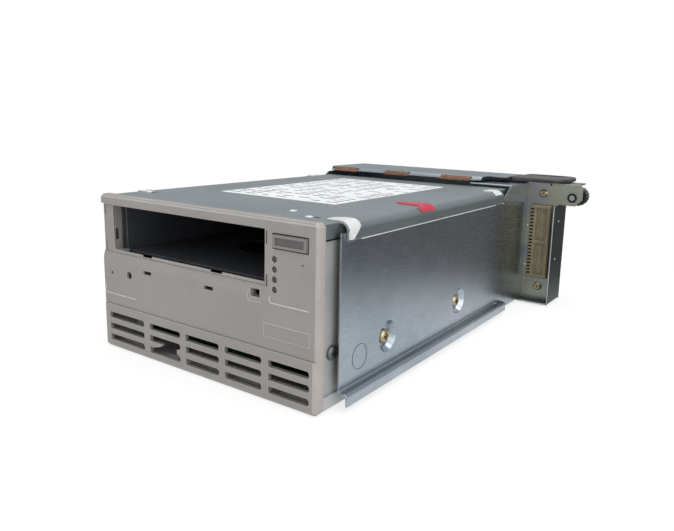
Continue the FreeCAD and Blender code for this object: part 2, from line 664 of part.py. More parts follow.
# ---------------------------------------------------------------- head and its lift
headLow = deckTop + 4.0
headTravel = 6.0
railPlaces = ((headX + 6.0, headY - 8.0), (headX + 6.0, headY + 8.0))
screwX = headX + 5.0


def headFrame():
    front, rear, outer = headY - 13.0, headY + 13.0, wallIn - 1.0
    base = block(headX - 6.0, outer, front, rear, deckTop, deckTop + 2.5)
    back = block(outer - 2.0, outer, front, rear, deckTop, deckTop + 32.0)
    roof = block(headX + 1.0, outer, front, rear, deckTop + 30.0, deckTop + 32.0)
    rails = [manySided("Z", 12, 1.5, deckTop + 2.0, deckTop + 30.5, x, y) for x, y in railPlaces]
    body = join(base, back, roof, *rails)
    return without(body, flatBore("Z", 12, 2.0 + running, deckTop - 1, deckTop + 40.0, screwX, headY))


def headBlock():
    """Read and write head: two curved faces on a block that rides on the rails."""
    z0, z1 = headLow, headLow + 16.0
    body = block(headX, headX + 10.0, headY - 11.0, headY + 11.0, z0, z1)
    faces = [without(manySided("Z", 16, 5.0, z0 + 1.0, z1 - 1.0, headX + 1.5, y),
                     block(headX + 2.0, headX + 10.0, y - 6.0, y + 6.0, z0, z1)) for y in (headY - 4.6, headY + 4.6)]
    tools = [flatBore("Z", 12, 1.5 + running, z0 - 1, z1 + 1, x, y) for x, y in railPlaces]
    tools.append(flatBore("Z", 12, 2.0 + running, z0 - 1, z1 + 1, screwX, headY))
    return without(join(body, *faces), *tools)


def headScrew():
    shaft = rod("Z", 2.0, deckBottom - 1.7, deckTop + 32.4, screwX, headY)
    knob = manySided("Z", 8, 3.4, deckTop + 32.3, deckTop + 34.3, screwX, headY)
    return join(shaft, knob)


def headMotor():
    can = manySided("Z", 20, 8.0, deckBottom - 12.0, deckBottom, screwX - 2.0, headY)
    return without(can, flatBore("Z", 12, 2.0 + running, deckBottom - 2.0, deckBottom + 1, screwX, headY))


# ---------------------------------------------------------------- cartridge loader
def carrier():
    """Open cartridge carrier that drops onto the reel chuck; it rides on four posts."""
    z0, z1 = openBottom - 1.6, openTop + 1.4
    front, rear = sleeveBack + 0.4, 116.8
    floor = block(carrierLeft, carrierRight, front, rear, z0, z0 + 1.2)
    sides = [block(carrierLeft, carrierLeft + 1.2, front, rear, z0, z1),
             block(carrierRight - 1.2, carrierRight, front, rear, z0, z1)]
    lips = [block(carrierLeft, carrierLeft + 9.0, front, rear, z1 - 1.2, z1),
            block(carrierRight - 9.0, carrierRight, front, rear, z1 - 1.2, z1)]
    stop = block(carrierLeft, carrierRight, rear - 1.2, rear, z0, z0 + 9.0)
    ears = []
    for x, y in guidePlaces:
        inner = carrierLeft if x < 0 else carrierRight
        ears.append(join(block(min(x, inner), max(x, inner), y - 1.6, y + 1.6, z0 + 3.0, z0 + 8.0),
                         manySided("Z", 8, 2.9, z0 + 3.0, z0 + 8.0, x, y)))
    pins = []
    for y in camY:
        pins.append(manySided("X", 10, pinRadius, carrierRight - 0.5, camRightX + camThick + 0.2, y, camZ))
        pins.append(manySided("X", 10, pinRadius, camLeftX - camThick - 0.2, carrierLeft + 0.5, y, camZ))
    body = join(floor, stop, *(sides + lips + ears + pins))
    tools = [manySided("Z", 20, 20.0, z0 - 1, z0 + 3, reelX, supplyY)]
    tools += [flatBore("Z", 12, guideRadius + running, z0, z0 + 12, x, y) for x, y in guidePlaces]
    return without(body, *tools)


def camSlide():
    """Two cam plates joined by a bar under the carrier; the right one carries the rack."""
    plates = []
    for x0 in (camRightX, camLeftX - camThick):
        side = block(x0, x0 + camThick, 22.0, 100.0, deckTop + gap, camTop)
        cams = []
        for y in camY:
            slope = math.atan2(liftTravel, camTravel)
            run = math.hypot(liftTravel, camTravel)
            half = pinRadius + 0.12
            cut = slot("X", y - run - half, y + half, camZ - half, camZ + half,
                       x0 - 1, x0 + camThick + 1, 0.45)
            cut.rotate(Vector(x0, y, camZ), Vector(1, 0, 0), math.degrees(slope))
            cams.append(cut)
        plates.append(without(side, *cams))
    bar = block(camLeftX - camThick, camRightX + camThick, barFront, barFront + 3.5, deckTop + gap,
                deckTop + gap + 1.6)
    pitch = math.pi * rackModule
    rack = []
    for i in range(-2 - int(camTravel / pitch), 2):
        y = wheelY + (i + 0.5) * pitch
        rack.append(prism("X", ((y - 1.2 * rackModule, camTop - 0.2), (y + 1.2 * rackModule, camTop - 0.2),
                                (y + 0.32 * rackModule, rackLine + 0.8 * rackModule),
                                (y - 0.32 * rackModule, rackLine + 0.8 * rackModule)),
                          camRightX, camRightX + camThick))
    return join(bar, *(plates + rack))


def loaderWheel():
    return gear("X", wheelTeeth, rackModule, camThick + 1.4, camRightX - 0.2, wheelY, wheelZ, 1.5 + running,
                phase=-math.pi / 2.0)


def loaderPinion():
    phase = math.pi + math.pi / pinionTeeth
    teeth = gear("X", pinionTeeth, rackModule, camThick + 1.4, camRightX - 0.2, pinionY, wheelZ, 0, phase=phase)
    shaft = rod("X", 1.0, camRightX + 1.0, camRightX + 9.0, pinionY, wheelZ)
    return join(teeth, shaft)


bracketX = camRightX + camThick + 2.0


def loaderBracket():
    """Upright on the deck that holds the loader's wheel and motor."""
    upright = block(bracketX, bracketX + 1.5, 50.0, 84.0, deckTop, wheelZ + 6.0)
    foot = block(bracketX, bracketX + 9.0, 50.0, 84.0, deckTop, deckTop + 1.5)
    axle = manySided("X", 12, 1.5, camRightX - 0.6, bracketX + 0.5, wheelY, wheelZ)
    window = slot("X", 54.0, 80.0, deckTop + 6.0, wheelZ - 9.0, bracketX - 1, bracketX + 3, 3.0)
    shaftHole = flatBore("X", 12, 1.0 + running, bracketX - 1, bracketX + 3, pinionY, wheelZ)
    return join(without(join(upright, foot), window, shaftHole), axle)


def loaderMotor():
    x0 = bracketX + 1.5
    can = manySided("X", 20, 7.5, x0, x0 + 15.0, pinionY, wheelZ)
    flats = [block(x0 - 1, x0 + 16.0, pinionY - 10, pinionY + 10, z, z + 4.0) for z in (wheelZ + 6.0, wheelZ - 10.0)]
    return without(can, flatBore("X", 12, 1.0 + running, x0 - 1, x0 + 12.0, pinionY, wheelZ), *flats)


# ---------------------------------------------------------------- tray
boardHigh = driveTop - 6.7              # upper edge of the interface board


def dished(body, y, z):
    """Press a round dish into the right side plate, with the screw's hole a little below its middle."""
    bump = taperedDrum("X", dishSides, dishFloorRadius, dishRadius, halfDrive, plateOut, y, z)
    hollow = taperedDrum("X", dishSides, dishFloorRadius, dishRadius, halfDrive + plate, plateOut + plate, y, z)
    hole = manySided("X", 10, holeRadius + 0.15, halfDrive - 1, plateOut + 1, y, z - dishRise)
    return without(join(body, bump), hollow, hole)


def sidePlate():
    """Right side plate without what the connector box adds."""
    x = plateIn + plate / 2.0
    ledgeMiddle = ledgeHeight - plate / 2.0
    out = plateOut + ledgeReach - plate / 2.0
    front = bentSheet("Y", ((x, plateTop), (x, ledgeMiddle), (out, ledgeMiddle), (out, lipBottom)),
                      plate, 1.4, plateFront, flangeEnd)
    rear = block(plateIn, plateOut, flangeEnd - 8.0, panelFront, 2.0, plateTop)
    rise = prism("X", ((rollRear + 4.0, plateTop - 0.3), (panelFront, plateTop - 0.3),
                       (panelFront, cageTop), (cageFront, cageTop)), plateIn, plateOut)
    under = prism("X", ((flangeEnd - 9.0, 0.0), (flangeEnd - 1.0, 2.0), (flangeEnd - 9.0, 9.5)),
                  plateIn - 1, plateOut + 1)
    body = without(join(front, rear, rise), under)
    for y in (firstHole, rearHole):
        body = dished(body, y, sideHoleHeight + dishRise)
    return body


def rightSidePlate():
    body = sidePlate()
    flange = block(hoodRight - 20.0, plateOut, cageFront + 1.0, bracketFace, cageTop - plate, cageTop)
    window = block(plateIn - 1, plateOut + 1, boardFace - 1.0, boardFace + 3.0, 8.0, boardHigh + 1.0)
    body = join(body, flange)
    return without(body, window)


def leftSidePlate():
    body = sidePlate()
    post = block(plateIn, plateOut, hoodFront + 2.0, panelFront, cageTop - 1.0, hoodTop - sheet - 1.2)
    return mirrored(join(body, post))


lipEnd = hoodRight - 13.0


def rearHood():
    """Shallow hood over the tray's rear end, with a stepped-down lip at the front."""
    top = hoodTop - sheet / 2.0
    left = -plateOut - sheet / 2.0
    body = bentSheet("Y", ((left, hoodTop - 12.0), (left, top), (hoodRight, top)),
                     sheet, 1.2, hoodFront + 2.0, plateRear)
    lip = bentSheet("X", ((hoodFront + 6.0, top), (hoodFront + 1.6, top), (hoodFront - 0.4, top - 1.6),
                          (hoodFront - 5.0, top - 1.6)), sheet, 0.9, -halfDrive, lipEnd)
    notch = block(lipEnd, hoodRight + 1, hoodFront - 9.0, hoodFront + 14.0, hoodTop - 9, hoodTop + 1)
    corner = prism("Z", ((lipEnd - 5.0, hoodFront - 6.0), (lipEnd + 1, hoodFront - 6.0), (lipEnd + 1, hoodFront)),
                   hoodTop - 9, hoodTop + 5)
    return without(join(body, lip), notch, corner)


fingerSpans = ((-70.0, -49.0), (-23.6, -3.4), (23.6, 46.4))


def emiFingers():
    """Spring fingers clipped over the hood's lip."""
    strips = []
    edge = hoodFront - 5.0
    lipTop = hoodTop - 1.6
    for x0, x1 in fingerSpans:
        profile = ((edge + 4.6, lipTop - sheet - 0.35), (edge - 0.35, lipTop - sheet - 0.35),
                   (edge - 0.35, lipTop + 0.5), (edge + 1.6, lipTop + 1.5), (edge + 4.4, lipTop + 0.4))
        strip = bentSheet("X", profile, 0.25, 0, x0, x1)
        count = 5
        pitch = (x1 - x0) / count
        cuts = [block(x0 + pitch * i - 0.35, x0 + pitch * i + 0.35, edge + 0.2, edge + 6.0,
                      lipTop + 0.1, lipTop + 3.0) for i in range(1, count)]
        strips.append(without(strip, *cuts))
    return strips


def rearFloor():
    """Floor of the tray's rear end."""
    body = block(-plateIn, plateIn, driveRear + 1.0, panelFront, boxBottom, boxBottom + plate)
    upstand = block(-plateIn, plateIn, driveRear + 1.0, driveRear + 2.0, boxBottom, boxBottom + 5.0)
    return join(body, upstand)


fanX, fanZ, fanSize, fanDepth = -36.0, 0.5 * bezelHeight + 1.6, 60.0, 15.0
fanBack = panelFront
gripLeft, gripRight = hoodRight + gap, boxRight + 4.4
handleScrewX, handleScrewZ = (gripLeft + 7.7, gripLeft + 25.7), earTop - 5.0


def rearPanel():
    """Back wall with the fan's grille."""
    under, low = hoodTop - sheet, earTop - gap
    body = prism("Y", ((-plateOut, boxBottom), (boxRight, boxBottom), (boxRight, low), (hoodRight, low),
                       (hoodRight, under), (1.2 - plateOut, under), (-plateOut, under - 1.2)),
                 panelFront, plateRear)
    tools = [manySided("Y", 8, 1.8, panelFront - 1, plateRear + 1, x, handleScrewZ) for x in handleScrewX]
    for r0, r1 in ((8.0, 15.5), (18.5, 26.0)):
        ring = without(manySided("Y", 24, r1, panelFront - 1, plateRear + 1, fanX, fanZ),
                       manySided("Y", 24, r0, panelFront - 2, plateRear + 2, fanX, fanZ))
        spokes = []
        for i in range(4):
            bar = block(fanX - 30, fanX + 30, panelFront - 3, plateRear + 3, fanZ - 1.2, fanZ + 1.2)
            bar.rotate(Vector(fanX, 0, fanZ), Vector(0, 1, 0), 45.0 * i)
            spokes.append(bar)
        tools.append(without(ring, *spokes))
    for sx in (-25.0, 25.0):
        for sz in (-25.0, 25.0):
            tools.append(manySided("Y", 8, 2.2, panelFront - 1, plateRear + 1, fanX + sx, fanZ + sz))
    return without(body, *tools)


def fanFrame():
    half = fanSize / 2.0
    body = slot("Y", fanX - half, fanX + half, fanZ - half, fanZ + half, fanBack - fanDepth, fanBack, 2.5)
    bore = manySided("Y", 24, half - 1.2, fanBack - fanDepth - 1, fanBack + 1, fanX, fanZ)
    holes = [manySided("Y", 8, 2.2, fanBack - fanDepth - 1, fanBack + 1, fanX + sx, fanZ + sz)
             for sx in (-25.0, 25.0) for sz in (-25.0, 25.0)]
    body = without(body, bore, *holes)
    disc = manySided("Y", 16, 15.0, fanBack - 2.0, fanBack, fanX, fanZ)
    arms = []
    for angle in (20.0, 140.0, 260.0):
        arm = block(fanX, fanX + half - 0.8, fanBack - 2.0, fanBack, fanZ - 1.5, fanZ + 1.5)
        arm.rotate(Vector(fanX, 0, fanZ), Vector(0, 1, 0), angle)
        arms.append(arm)
    pin = manySided("Y", 12, 1.5, fanBack - fanDepth + 3.0, fanBack - 1.0, fanX, fanZ)
    return join(body, disc, pin, *arms)


def fanRotor():
    """Fan wheel: cup hub and seven pitched blades."""
    y0, y1 = fanBack - fanDepth + 1.2, fanBack - 2.6
    hub = manySided("Y", 24, 14.0, y0, y1, fanX, fanZ)
    hub = without(hub, rod("Y", 1.5 + running, y0 + 1.6, y1 + 1, fanX, fanZ))
    blades = []
    for i in range(7):
        blade = block(fanX + 13.0, fanX + 25.8, y0 + 4.8, y0 + 5.8, fanZ - 7.4, fanZ + 7.4)
        blade.rotate(Vector(fanX, y0 + 5.3, fanZ), Vector(1, 0, 0), 34.0)
        blade.rotate(Vector(fanX, 0, fanZ), Vector(0, 1, 0), 360.0 / 7 * i)
        blades.append(blade)
    return join(hub, *blades)


def fanScrews():
    return [panScrew("Y", plateRear, 1, fanX + sx, fanZ + sz, 3.4, 1.8, 2.0, 10.0)
            for sx in (-25.0, 25.0) for sz in (-25.0, 25.0)]


def pullHandle():
    """Black moulded grip over the connector box, with a finger loop behind the panel."""
    z0, z1 = earTop + 0.2, hoodTop
    plan = block(gripLeft, gripRight, boxFront + 1.0, plateRear + 13.0, z0, z1)
    plan = rounded(plan, 11.0, lambda c, b: c.x > gripRight - 0.01 and b.XLength < 0.01 and b.YLength < 0.01)
    hole = slot("Z", gripLeft + 5.7, gripRight - 8.0, plateRear + 2.0, plateRear + 9.0, z0 - 1, z1 + 1, 2.4)
    lug = block(gripLeft + 3.7, gripRight - 8.0, plateRear, plateRear + 1.8, handleScrewZ - 4.0, z0 + 1)
    holes = [manySided("Y", 8, 1.8, plateRear - 1, plateRear + 3, x, handleScrewZ) for x in handleScrewX]
    return without(join(plan, lug), hole, *holes)


def handleScrews():
    return [panScrew("Y", plateRear + 1.8, 1, x, handleScrewZ, 3.0, 1.8, 1.6, 4.0) for x in handleScrewX]


# ---------------------------------------------------------------- connector box and captive screw
captiveX, captiveZ = boxRight + 8.6, earTop - 9.4
bracketScrewX, bracketScrewZ = (plateOut + 11.6, plateOut + 12.2), (earTop - 7.8, 12.4)
screwTravel = 5.0
guideEnd = bracketFace + plate + 5.0
washerFront = guideEnd + screwTravel + gap
washerThick = 0.8
knobFront = washerFront + washerThick + 0.1


def connectorBox():
    """Open channel for the connector: floor and right wall in one bent sheet."""
    x = boxRight - plate / 2.0
    z = boxBottom + plate / 2.0
    body = bentSheet("Y", ((plateOut, z), (x, z), (x, boxTop)), plate, 1.0, boxFront, panelFront)
    return body


def connectorBracket():
    """Plate that carries the connector; its upper end runs out into an ear."""
    y0, y1 = bracketFace, bracketFace + plate
    inner = boxRight - plate
    lower = block(plateOut, inner, y0, y1, bracketBottom, boxTop)
    upper = prism("Y", ((plateOut, boxTop), (boxRight, boxTop), (boxRight, earBottom),
                        (earEnd - 4.6, earBottom), (earEnd, earBottom + 4.6), (earEnd, earTop - 2.0),
                        (earEnd - 2.0, earTop), (plateOut, earTop)), y0, y1)
    flange = block(plateOut + 1.0, earEnd - 3.0, y0, panelFront, earTop - plate, earTop)
    foot = block(plateOut, inner - 1.5, y0, y0 + 8.0, boxBottom + plate, boxBottom + plate + plate)
    stem = block(plateOut, inner - 1.5, y0, y1, boxBottom + plate, bracketBottom + 1)
    body = join(lower, upper, flange, foot, stem)
    tools = [block(connLeft - 0.1, connRight + 0.1, y0 - 1, y1 + 1, connBottom - 0.1, connTop + 0.1),
             manySided("Y", 16, 3.2, y0 - 1, y1 + 1, captiveX, captiveZ),
             block(plateOut + 15.8, plateOut + 16.8, y0 - 1, y0 + 4.0, earTop - 2.0, earTop + 1)]
    tools += [manySided("Y", 8, 1.7, y0 - 1, y1 + 1, x, z) for x, z in zip(bracketScrewX, bracketScrewZ)]
    return without(body, *tools)


connMiddle = 0.5 * (connBottom + connTop)
wellHeights = ((connBottom + 2.4, connMiddle - 1.0), (connMiddle + 1.0, connTop - 2.4))
wellDepth = 1.6


def blindConnector():
    """Blind-mate connector: a tall moulded body with a comb of contact slots on its left."""
    y0, y1 = bracketFace - 3.0, boardFace
    body = block(connLeft, connRight, y0, y1, connBottom, connTop)
    body = body.makeChamfer(0.8, [e for e in body.Edges if e.CenterOfMass.y < y0 + 0.01])
    tools = []
    count = 20
    pitch = (connTop - connBottom - 4.0) / count
    for i in range(count):
        z = connBottom + 2.0 + pitch * (i + 0.25)
        tools.append(block(connLeft - 1, connLeft + 3.2, y0 - 1, y0 + 5.0, z, z + pitch * 0.5))
    for z0, z1 in wellHeights:
        tools.append(block(connLeft + 5.0, connRight - 2.6, y0 - 1, y0 + wellDepth, z0, z1))
    return without(body, *tools)


def contactBlades():
    """Metal contacts standing in the connector's two shallow wells."""
    blades = []
    y0 = bracketFace - 3.0 + wellDepth
    for z0, z1 in wellHeights:
        count = 8
        pitch = (z1 - z0 - 2.0) / count
        for i in range(count):
            z = z0 + 1.0 + pitch * (i + 0.5)
            for x in (connLeft + 7.0, connLeft + 10.2):
                blades.append(block(x - 0.3, x + 0.3, y0 - 0.9, y0, z - 0.5, z + 0.5))
    return blades


def interfaceBoard():
    return block(10.0, boxRight - 2.5, boardFace, boardFace + boardThick, 9.0, boardHigh)


def boardPosts():
    """Spacers that hold the interface board off the rear panel."""
    return [manySided("Y", 6, 2.8, boardFace + boardThick, panelFront, x, z)
            for x in (15.0, 70.0) for z in (13.0, boardHigh - 4.0)]


def bracketScrews():
    return [panScrew("Y", bracketFace, -1, x, z, 2.9, 1.6, 1.6, 6.0) for x, z in zip(bracketScrewX, bracketScrewZ)]


def captiveSleeve():
    """Ferrule pressed into the ear; the captive screw turns and slides in it."""
    y0 = bracketFace
    flange = manySided("Y", 16, 3.2, y0 - 0.6, y0 + plate + 2.0, captiveX, captiveZ)
    guide = manySided("Y", 16, 4.2, y0 + plate, guideEnd, captiveX, captiveZ)
    return without(join(flange, guide), flatBore("Y", 16, 1.9 + running, y0 - 2, y0 + 9.0, captiveX, captiveZ))


def captiveWasher():
    """Washer that rides on the screw ahead of its knob and meets the sleeve when it is driven home."""
    disc = manySided("Y", 12, 3.8, washerFront, washerFront + washerThick, captiveX, captiveZ)
    return without(disc, flatBore("Y", 12, 1.9 + running, washerFront - 1, knobFront, captiveX, captiveZ))


def captiveScrew():
    """Knurled thumb screw, drawn back at rest."""
    shank = rod("Y", 1.9, bracketFace - 0.4, knobFront + 1.0, captiveX, captiveZ)
    outline = []
    for i in range(36):
        angle, radius = 2.0 * math.pi * i / 36, 6.7 - 0.45 * (i % 2)
        outline.append((captiveX + radius * math.cos(angle), captiveZ + radius * math.sin(angle)))
    knob = prism("Y", outline, knobFront, knobFront + 7.5)
    drive = block(captiveX - 5.0, captiveX + 5.0, knobFront + 6.0, knobFront + 9.0, captiveZ - 0.7, captiveZ + 0.7)
    return without(join(shank, knob), drive)


# ---------------------------------------------------------------- side screws
def sideScrews():
    screws = []
    for y in (firstHole, rearHole):
        for way in (-1, 1):
            screws.append(panScrew("X", way * (halfDrive + plate), way, y, sideHoleHeight, 3.6, 2.0,
                                   holeRadius, 4.5))
    return screws


def coverScrews():
    return [panScrew("X", way * halfDrive, way, coverScrewY, coverScrewZ, 3.3, 1.9, 1.2, 3.0) for way in (-1, 1)]


# ---------------------------------------------------------------- write the pieces
os.makedirs("parts", exist_ok=True)
save("bezel", bezel())
save("eject_button", ejectButton())
save("panel_board", panelBoard())
save("lamp_pipes", *lampPipes())
save("chassis", chassis())
save("bottom_cover", bottomCover())
save("top_cover", topCover())
save("cover_clips", *coverClips())
save("red_tab", redTab())
save("top_label", topLabel())
save("main_board", mainBoard())
save("board_chips", *boardChips())
save("board_screws", *boardScrews())
save("data_connector", dataConnector())
save("power_connector", powerConnector())
save("deck", deck())
save("deck_screws", *deckScrews())
save("guide_posts", *guidePosts())
save("supply_motor", reelMotor(supplyY, 22.0, 15.0, supplyDrop))
save("supply_chuck", supplyChuck())
save("takeup_motor", reelMotor(takeupY, 24.0, 8.5, takeupDrop))
save("takeup_reel", takeupReel())
for number, (x, y) in enumerate(rollerPlaces, 1):
    save("guide_roller_%d" % number, guideRoller(x, y))
save("roller_posts", *rollerPosts())
save("head_frame", headFrame())
save("head_block", headBlock())
save("head_screw", headScrew())
save("head_motor", headMotor())
save("cartridge_carrier", carrier())
save("cam_slide", camSlide())
save("loader_wheel", loaderWheel())
save("loader_pinion", loaderPinion())
save("loader_bracket", loaderBracket())
save("loader_motor", loaderMotor())
save("right_side_plate", rightSidePlate())
save("left_side_plate", leftSidePlate())
save("rear_hood", rearHood())
save("emi_fingers", *emiFingers())
save("rear_floor", rearFloor())
save("rear_panel", rearPanel())
save("fan_frame", fanFrame())
save("fan_rotor", fanRotor())
save("fan_screws", *fanScrews())
save("pull_handle", pullHandle())
save("handle_screws", *handleScrews())
save("connector_box", connectorBox())
save("connector_bracket", connectorBracket())
save("blind_connector", blindConnector())
save("contact_blades", *contactBlades())
save("interface_board", interfaceBoard())
save("board_posts", *boardPosts())
save("bracket_screws", *bracketScrews())
save("captive_sleeve", captiveSleeve())
save("captive_washer", captiveWasher())
save("captive_screw", captiveScrew())
save("side_screws", *sideScrews())
save("cover_screws", *coverScrews())
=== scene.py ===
import json
import math
import bmesh
import bpy
from mathutils import Matrix, Vector


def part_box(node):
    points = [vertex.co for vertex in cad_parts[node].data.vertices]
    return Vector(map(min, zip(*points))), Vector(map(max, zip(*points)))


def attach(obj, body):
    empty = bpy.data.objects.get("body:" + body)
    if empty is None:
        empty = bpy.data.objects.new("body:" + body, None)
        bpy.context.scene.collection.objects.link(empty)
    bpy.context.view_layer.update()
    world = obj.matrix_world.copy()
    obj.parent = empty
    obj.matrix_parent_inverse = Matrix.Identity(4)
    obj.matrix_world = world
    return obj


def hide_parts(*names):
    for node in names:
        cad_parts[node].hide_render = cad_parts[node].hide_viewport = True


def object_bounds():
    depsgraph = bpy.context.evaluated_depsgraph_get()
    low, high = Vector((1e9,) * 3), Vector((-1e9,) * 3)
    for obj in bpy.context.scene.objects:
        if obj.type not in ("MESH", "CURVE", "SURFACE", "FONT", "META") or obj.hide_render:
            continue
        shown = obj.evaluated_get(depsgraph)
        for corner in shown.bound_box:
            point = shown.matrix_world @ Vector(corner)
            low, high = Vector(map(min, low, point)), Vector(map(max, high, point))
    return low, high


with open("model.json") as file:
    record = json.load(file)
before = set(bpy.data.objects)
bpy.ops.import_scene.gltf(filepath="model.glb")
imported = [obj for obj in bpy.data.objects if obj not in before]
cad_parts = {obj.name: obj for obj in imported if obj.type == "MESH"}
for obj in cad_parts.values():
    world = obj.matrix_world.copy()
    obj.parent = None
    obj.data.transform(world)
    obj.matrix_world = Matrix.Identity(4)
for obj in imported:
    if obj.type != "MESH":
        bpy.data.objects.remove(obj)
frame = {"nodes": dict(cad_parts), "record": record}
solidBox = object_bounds()
bezelLow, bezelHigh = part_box("bezel")
# Middle of the bezel's lower front edge.
bezelFoot = Vector(((bezelLow.x + bezelHigh.x) / 2, bezelLow.y, bezelLow.z))
mergeWithin = 0.000003      # metres: loose corners closer than this are one


# A place given in millimetres from the bezel's lower front edge: right, back, up.
def at(x, y, z):
    return bezelFoot + Vector((x, y, z)) * 0.001


# The other way round: how far a place in the scene lies from that edge, in millimetres.
def fromBezel(place):
    return (place - bezelFoot) * 1000


def hexColour(text):
    channels = [int(text[i:i + 2], 16) / 255 for i in (1, 3, 5)]
    return tuple(c / 12.92 if c <= 0.04045 else ((c + 0.055) / 1.055) ** 2.4 for c in channels) + (1.0,)


# Adds a node. A setting is an input's name or number, the "stops" of a colour ramp,
# or one of the node's own properties.
def addNode(tree, kind, settings={}, links={}):
    node = tree.nodes.new(kind)
    for key, value in settings.items():
        if key == "stops":
            stops = node.color_ramp.elements
            while len(stops) < len(value):
                stops.new(0.99)     # its real place is set below
            for stop, (place, colour) in zip(stops, value):
                stop.position, stop.color = place, hexColour(colour)
        elif isinstance(key, int) or key in node.inputs:
            node.inputs[key].default_value = value
        else:
            setattr(node, key, value)
    for key, output in links.items():
        tree.links.new(output, node.inputs[key])
    return node


# Colour and shade mix in soft patches. Grain is a fine relief of the given depth, drawn out along stretch,
# and streak is how much of it shows in the colour. Colours are sRGB, sizes are millimetres.
def makeFinish(name, look):
    finish = bpy.data.materials.new(name)
    finish.use_nodes = True
    tree = finish.node_tree
    shader = tree.nodes["Principled BSDF"]
    place = addNode(tree, "ShaderNodeTexCoord").outputs["Object"]
    patches = addNode(tree, "ShaderNodeTexNoise",
                      {"Scale": 1000 / look["patch"], "Detail": 4.0, "Roughness": 0.6}, {"Vector": place})
    spread = addNode(tree, "ShaderNodeMapRange", {"From Min": 0.3, "From Max": 0.7},
                     {"Value": patches.outputs[0]})
    stretched = addNode(tree, "ShaderNodeMapping",
                        {"Scale": [1000 / s for s in look.get("stretch", (1.0, 1.0, 1.0))]},
                        {"Vector": place})
    grain = addNode(tree, "ShaderNodeTexNoise", {"Scale": 1 / look["grain"], "Detail": 2.0},
                    {"Vector": stretched.outputs[0]})
    blend = addNode(tree, "ShaderNodeMath", {"operation": "MULTIPLY_ADD", 1: look.get("streak", 0.0)},
                    {0: grain.outputs[0], 2: spread.outputs[0]})
    centre = addNode(tree, "ShaderNodeMath", {"operation": "SUBTRACT", 1: look.get("streak", 0.0) / 2,
                                              "use_clamp": True}, {0: blend.outputs[0]})
    if "stops" in look:
        colour = addNode(tree, "ShaderNodeValToRGB", {"stops": look["stops"]},
                         {0: centre.outputs[0]}).outputs[0]
    else:
        colour = addNode(tree, "ShaderNodeMix", {"data_type": "RGBA", 6: hexColour(look["colour"]),
                                                 7: hexColour(look["shade"])},
                         {0: centre.outputs[0]}).outputs[2]
    tree.links.new(colour, shader.inputs["Base Color"])
    low, high = look["roughness"]
    rough = addNode(tree, "ShaderNodeMapRange",
                    {"From Min": 0.3, "From Max": 0.7, "To Min": low, "To Max": high},
                    {"Value": grain.outputs[0]})
    tree.links.new(rough.outputs[0], shader.inputs["Roughness"])
    bump = addNode(tree, "ShaderNodeBump", {"Strength": 0.5, "Distance": look["depth"] / 1000},
                   {"Height": grain.outputs[0]})
    tree.links.new(bump.outputs[0], shader.inputs["Normal"])
    for socket in ("Metallic", "IOR", "Subsurface Weight", "Subsurface Scale", "Coat Weight"):
        if socket in look:
            shader.inputs[socket].default_value = look[socket]
    return finish


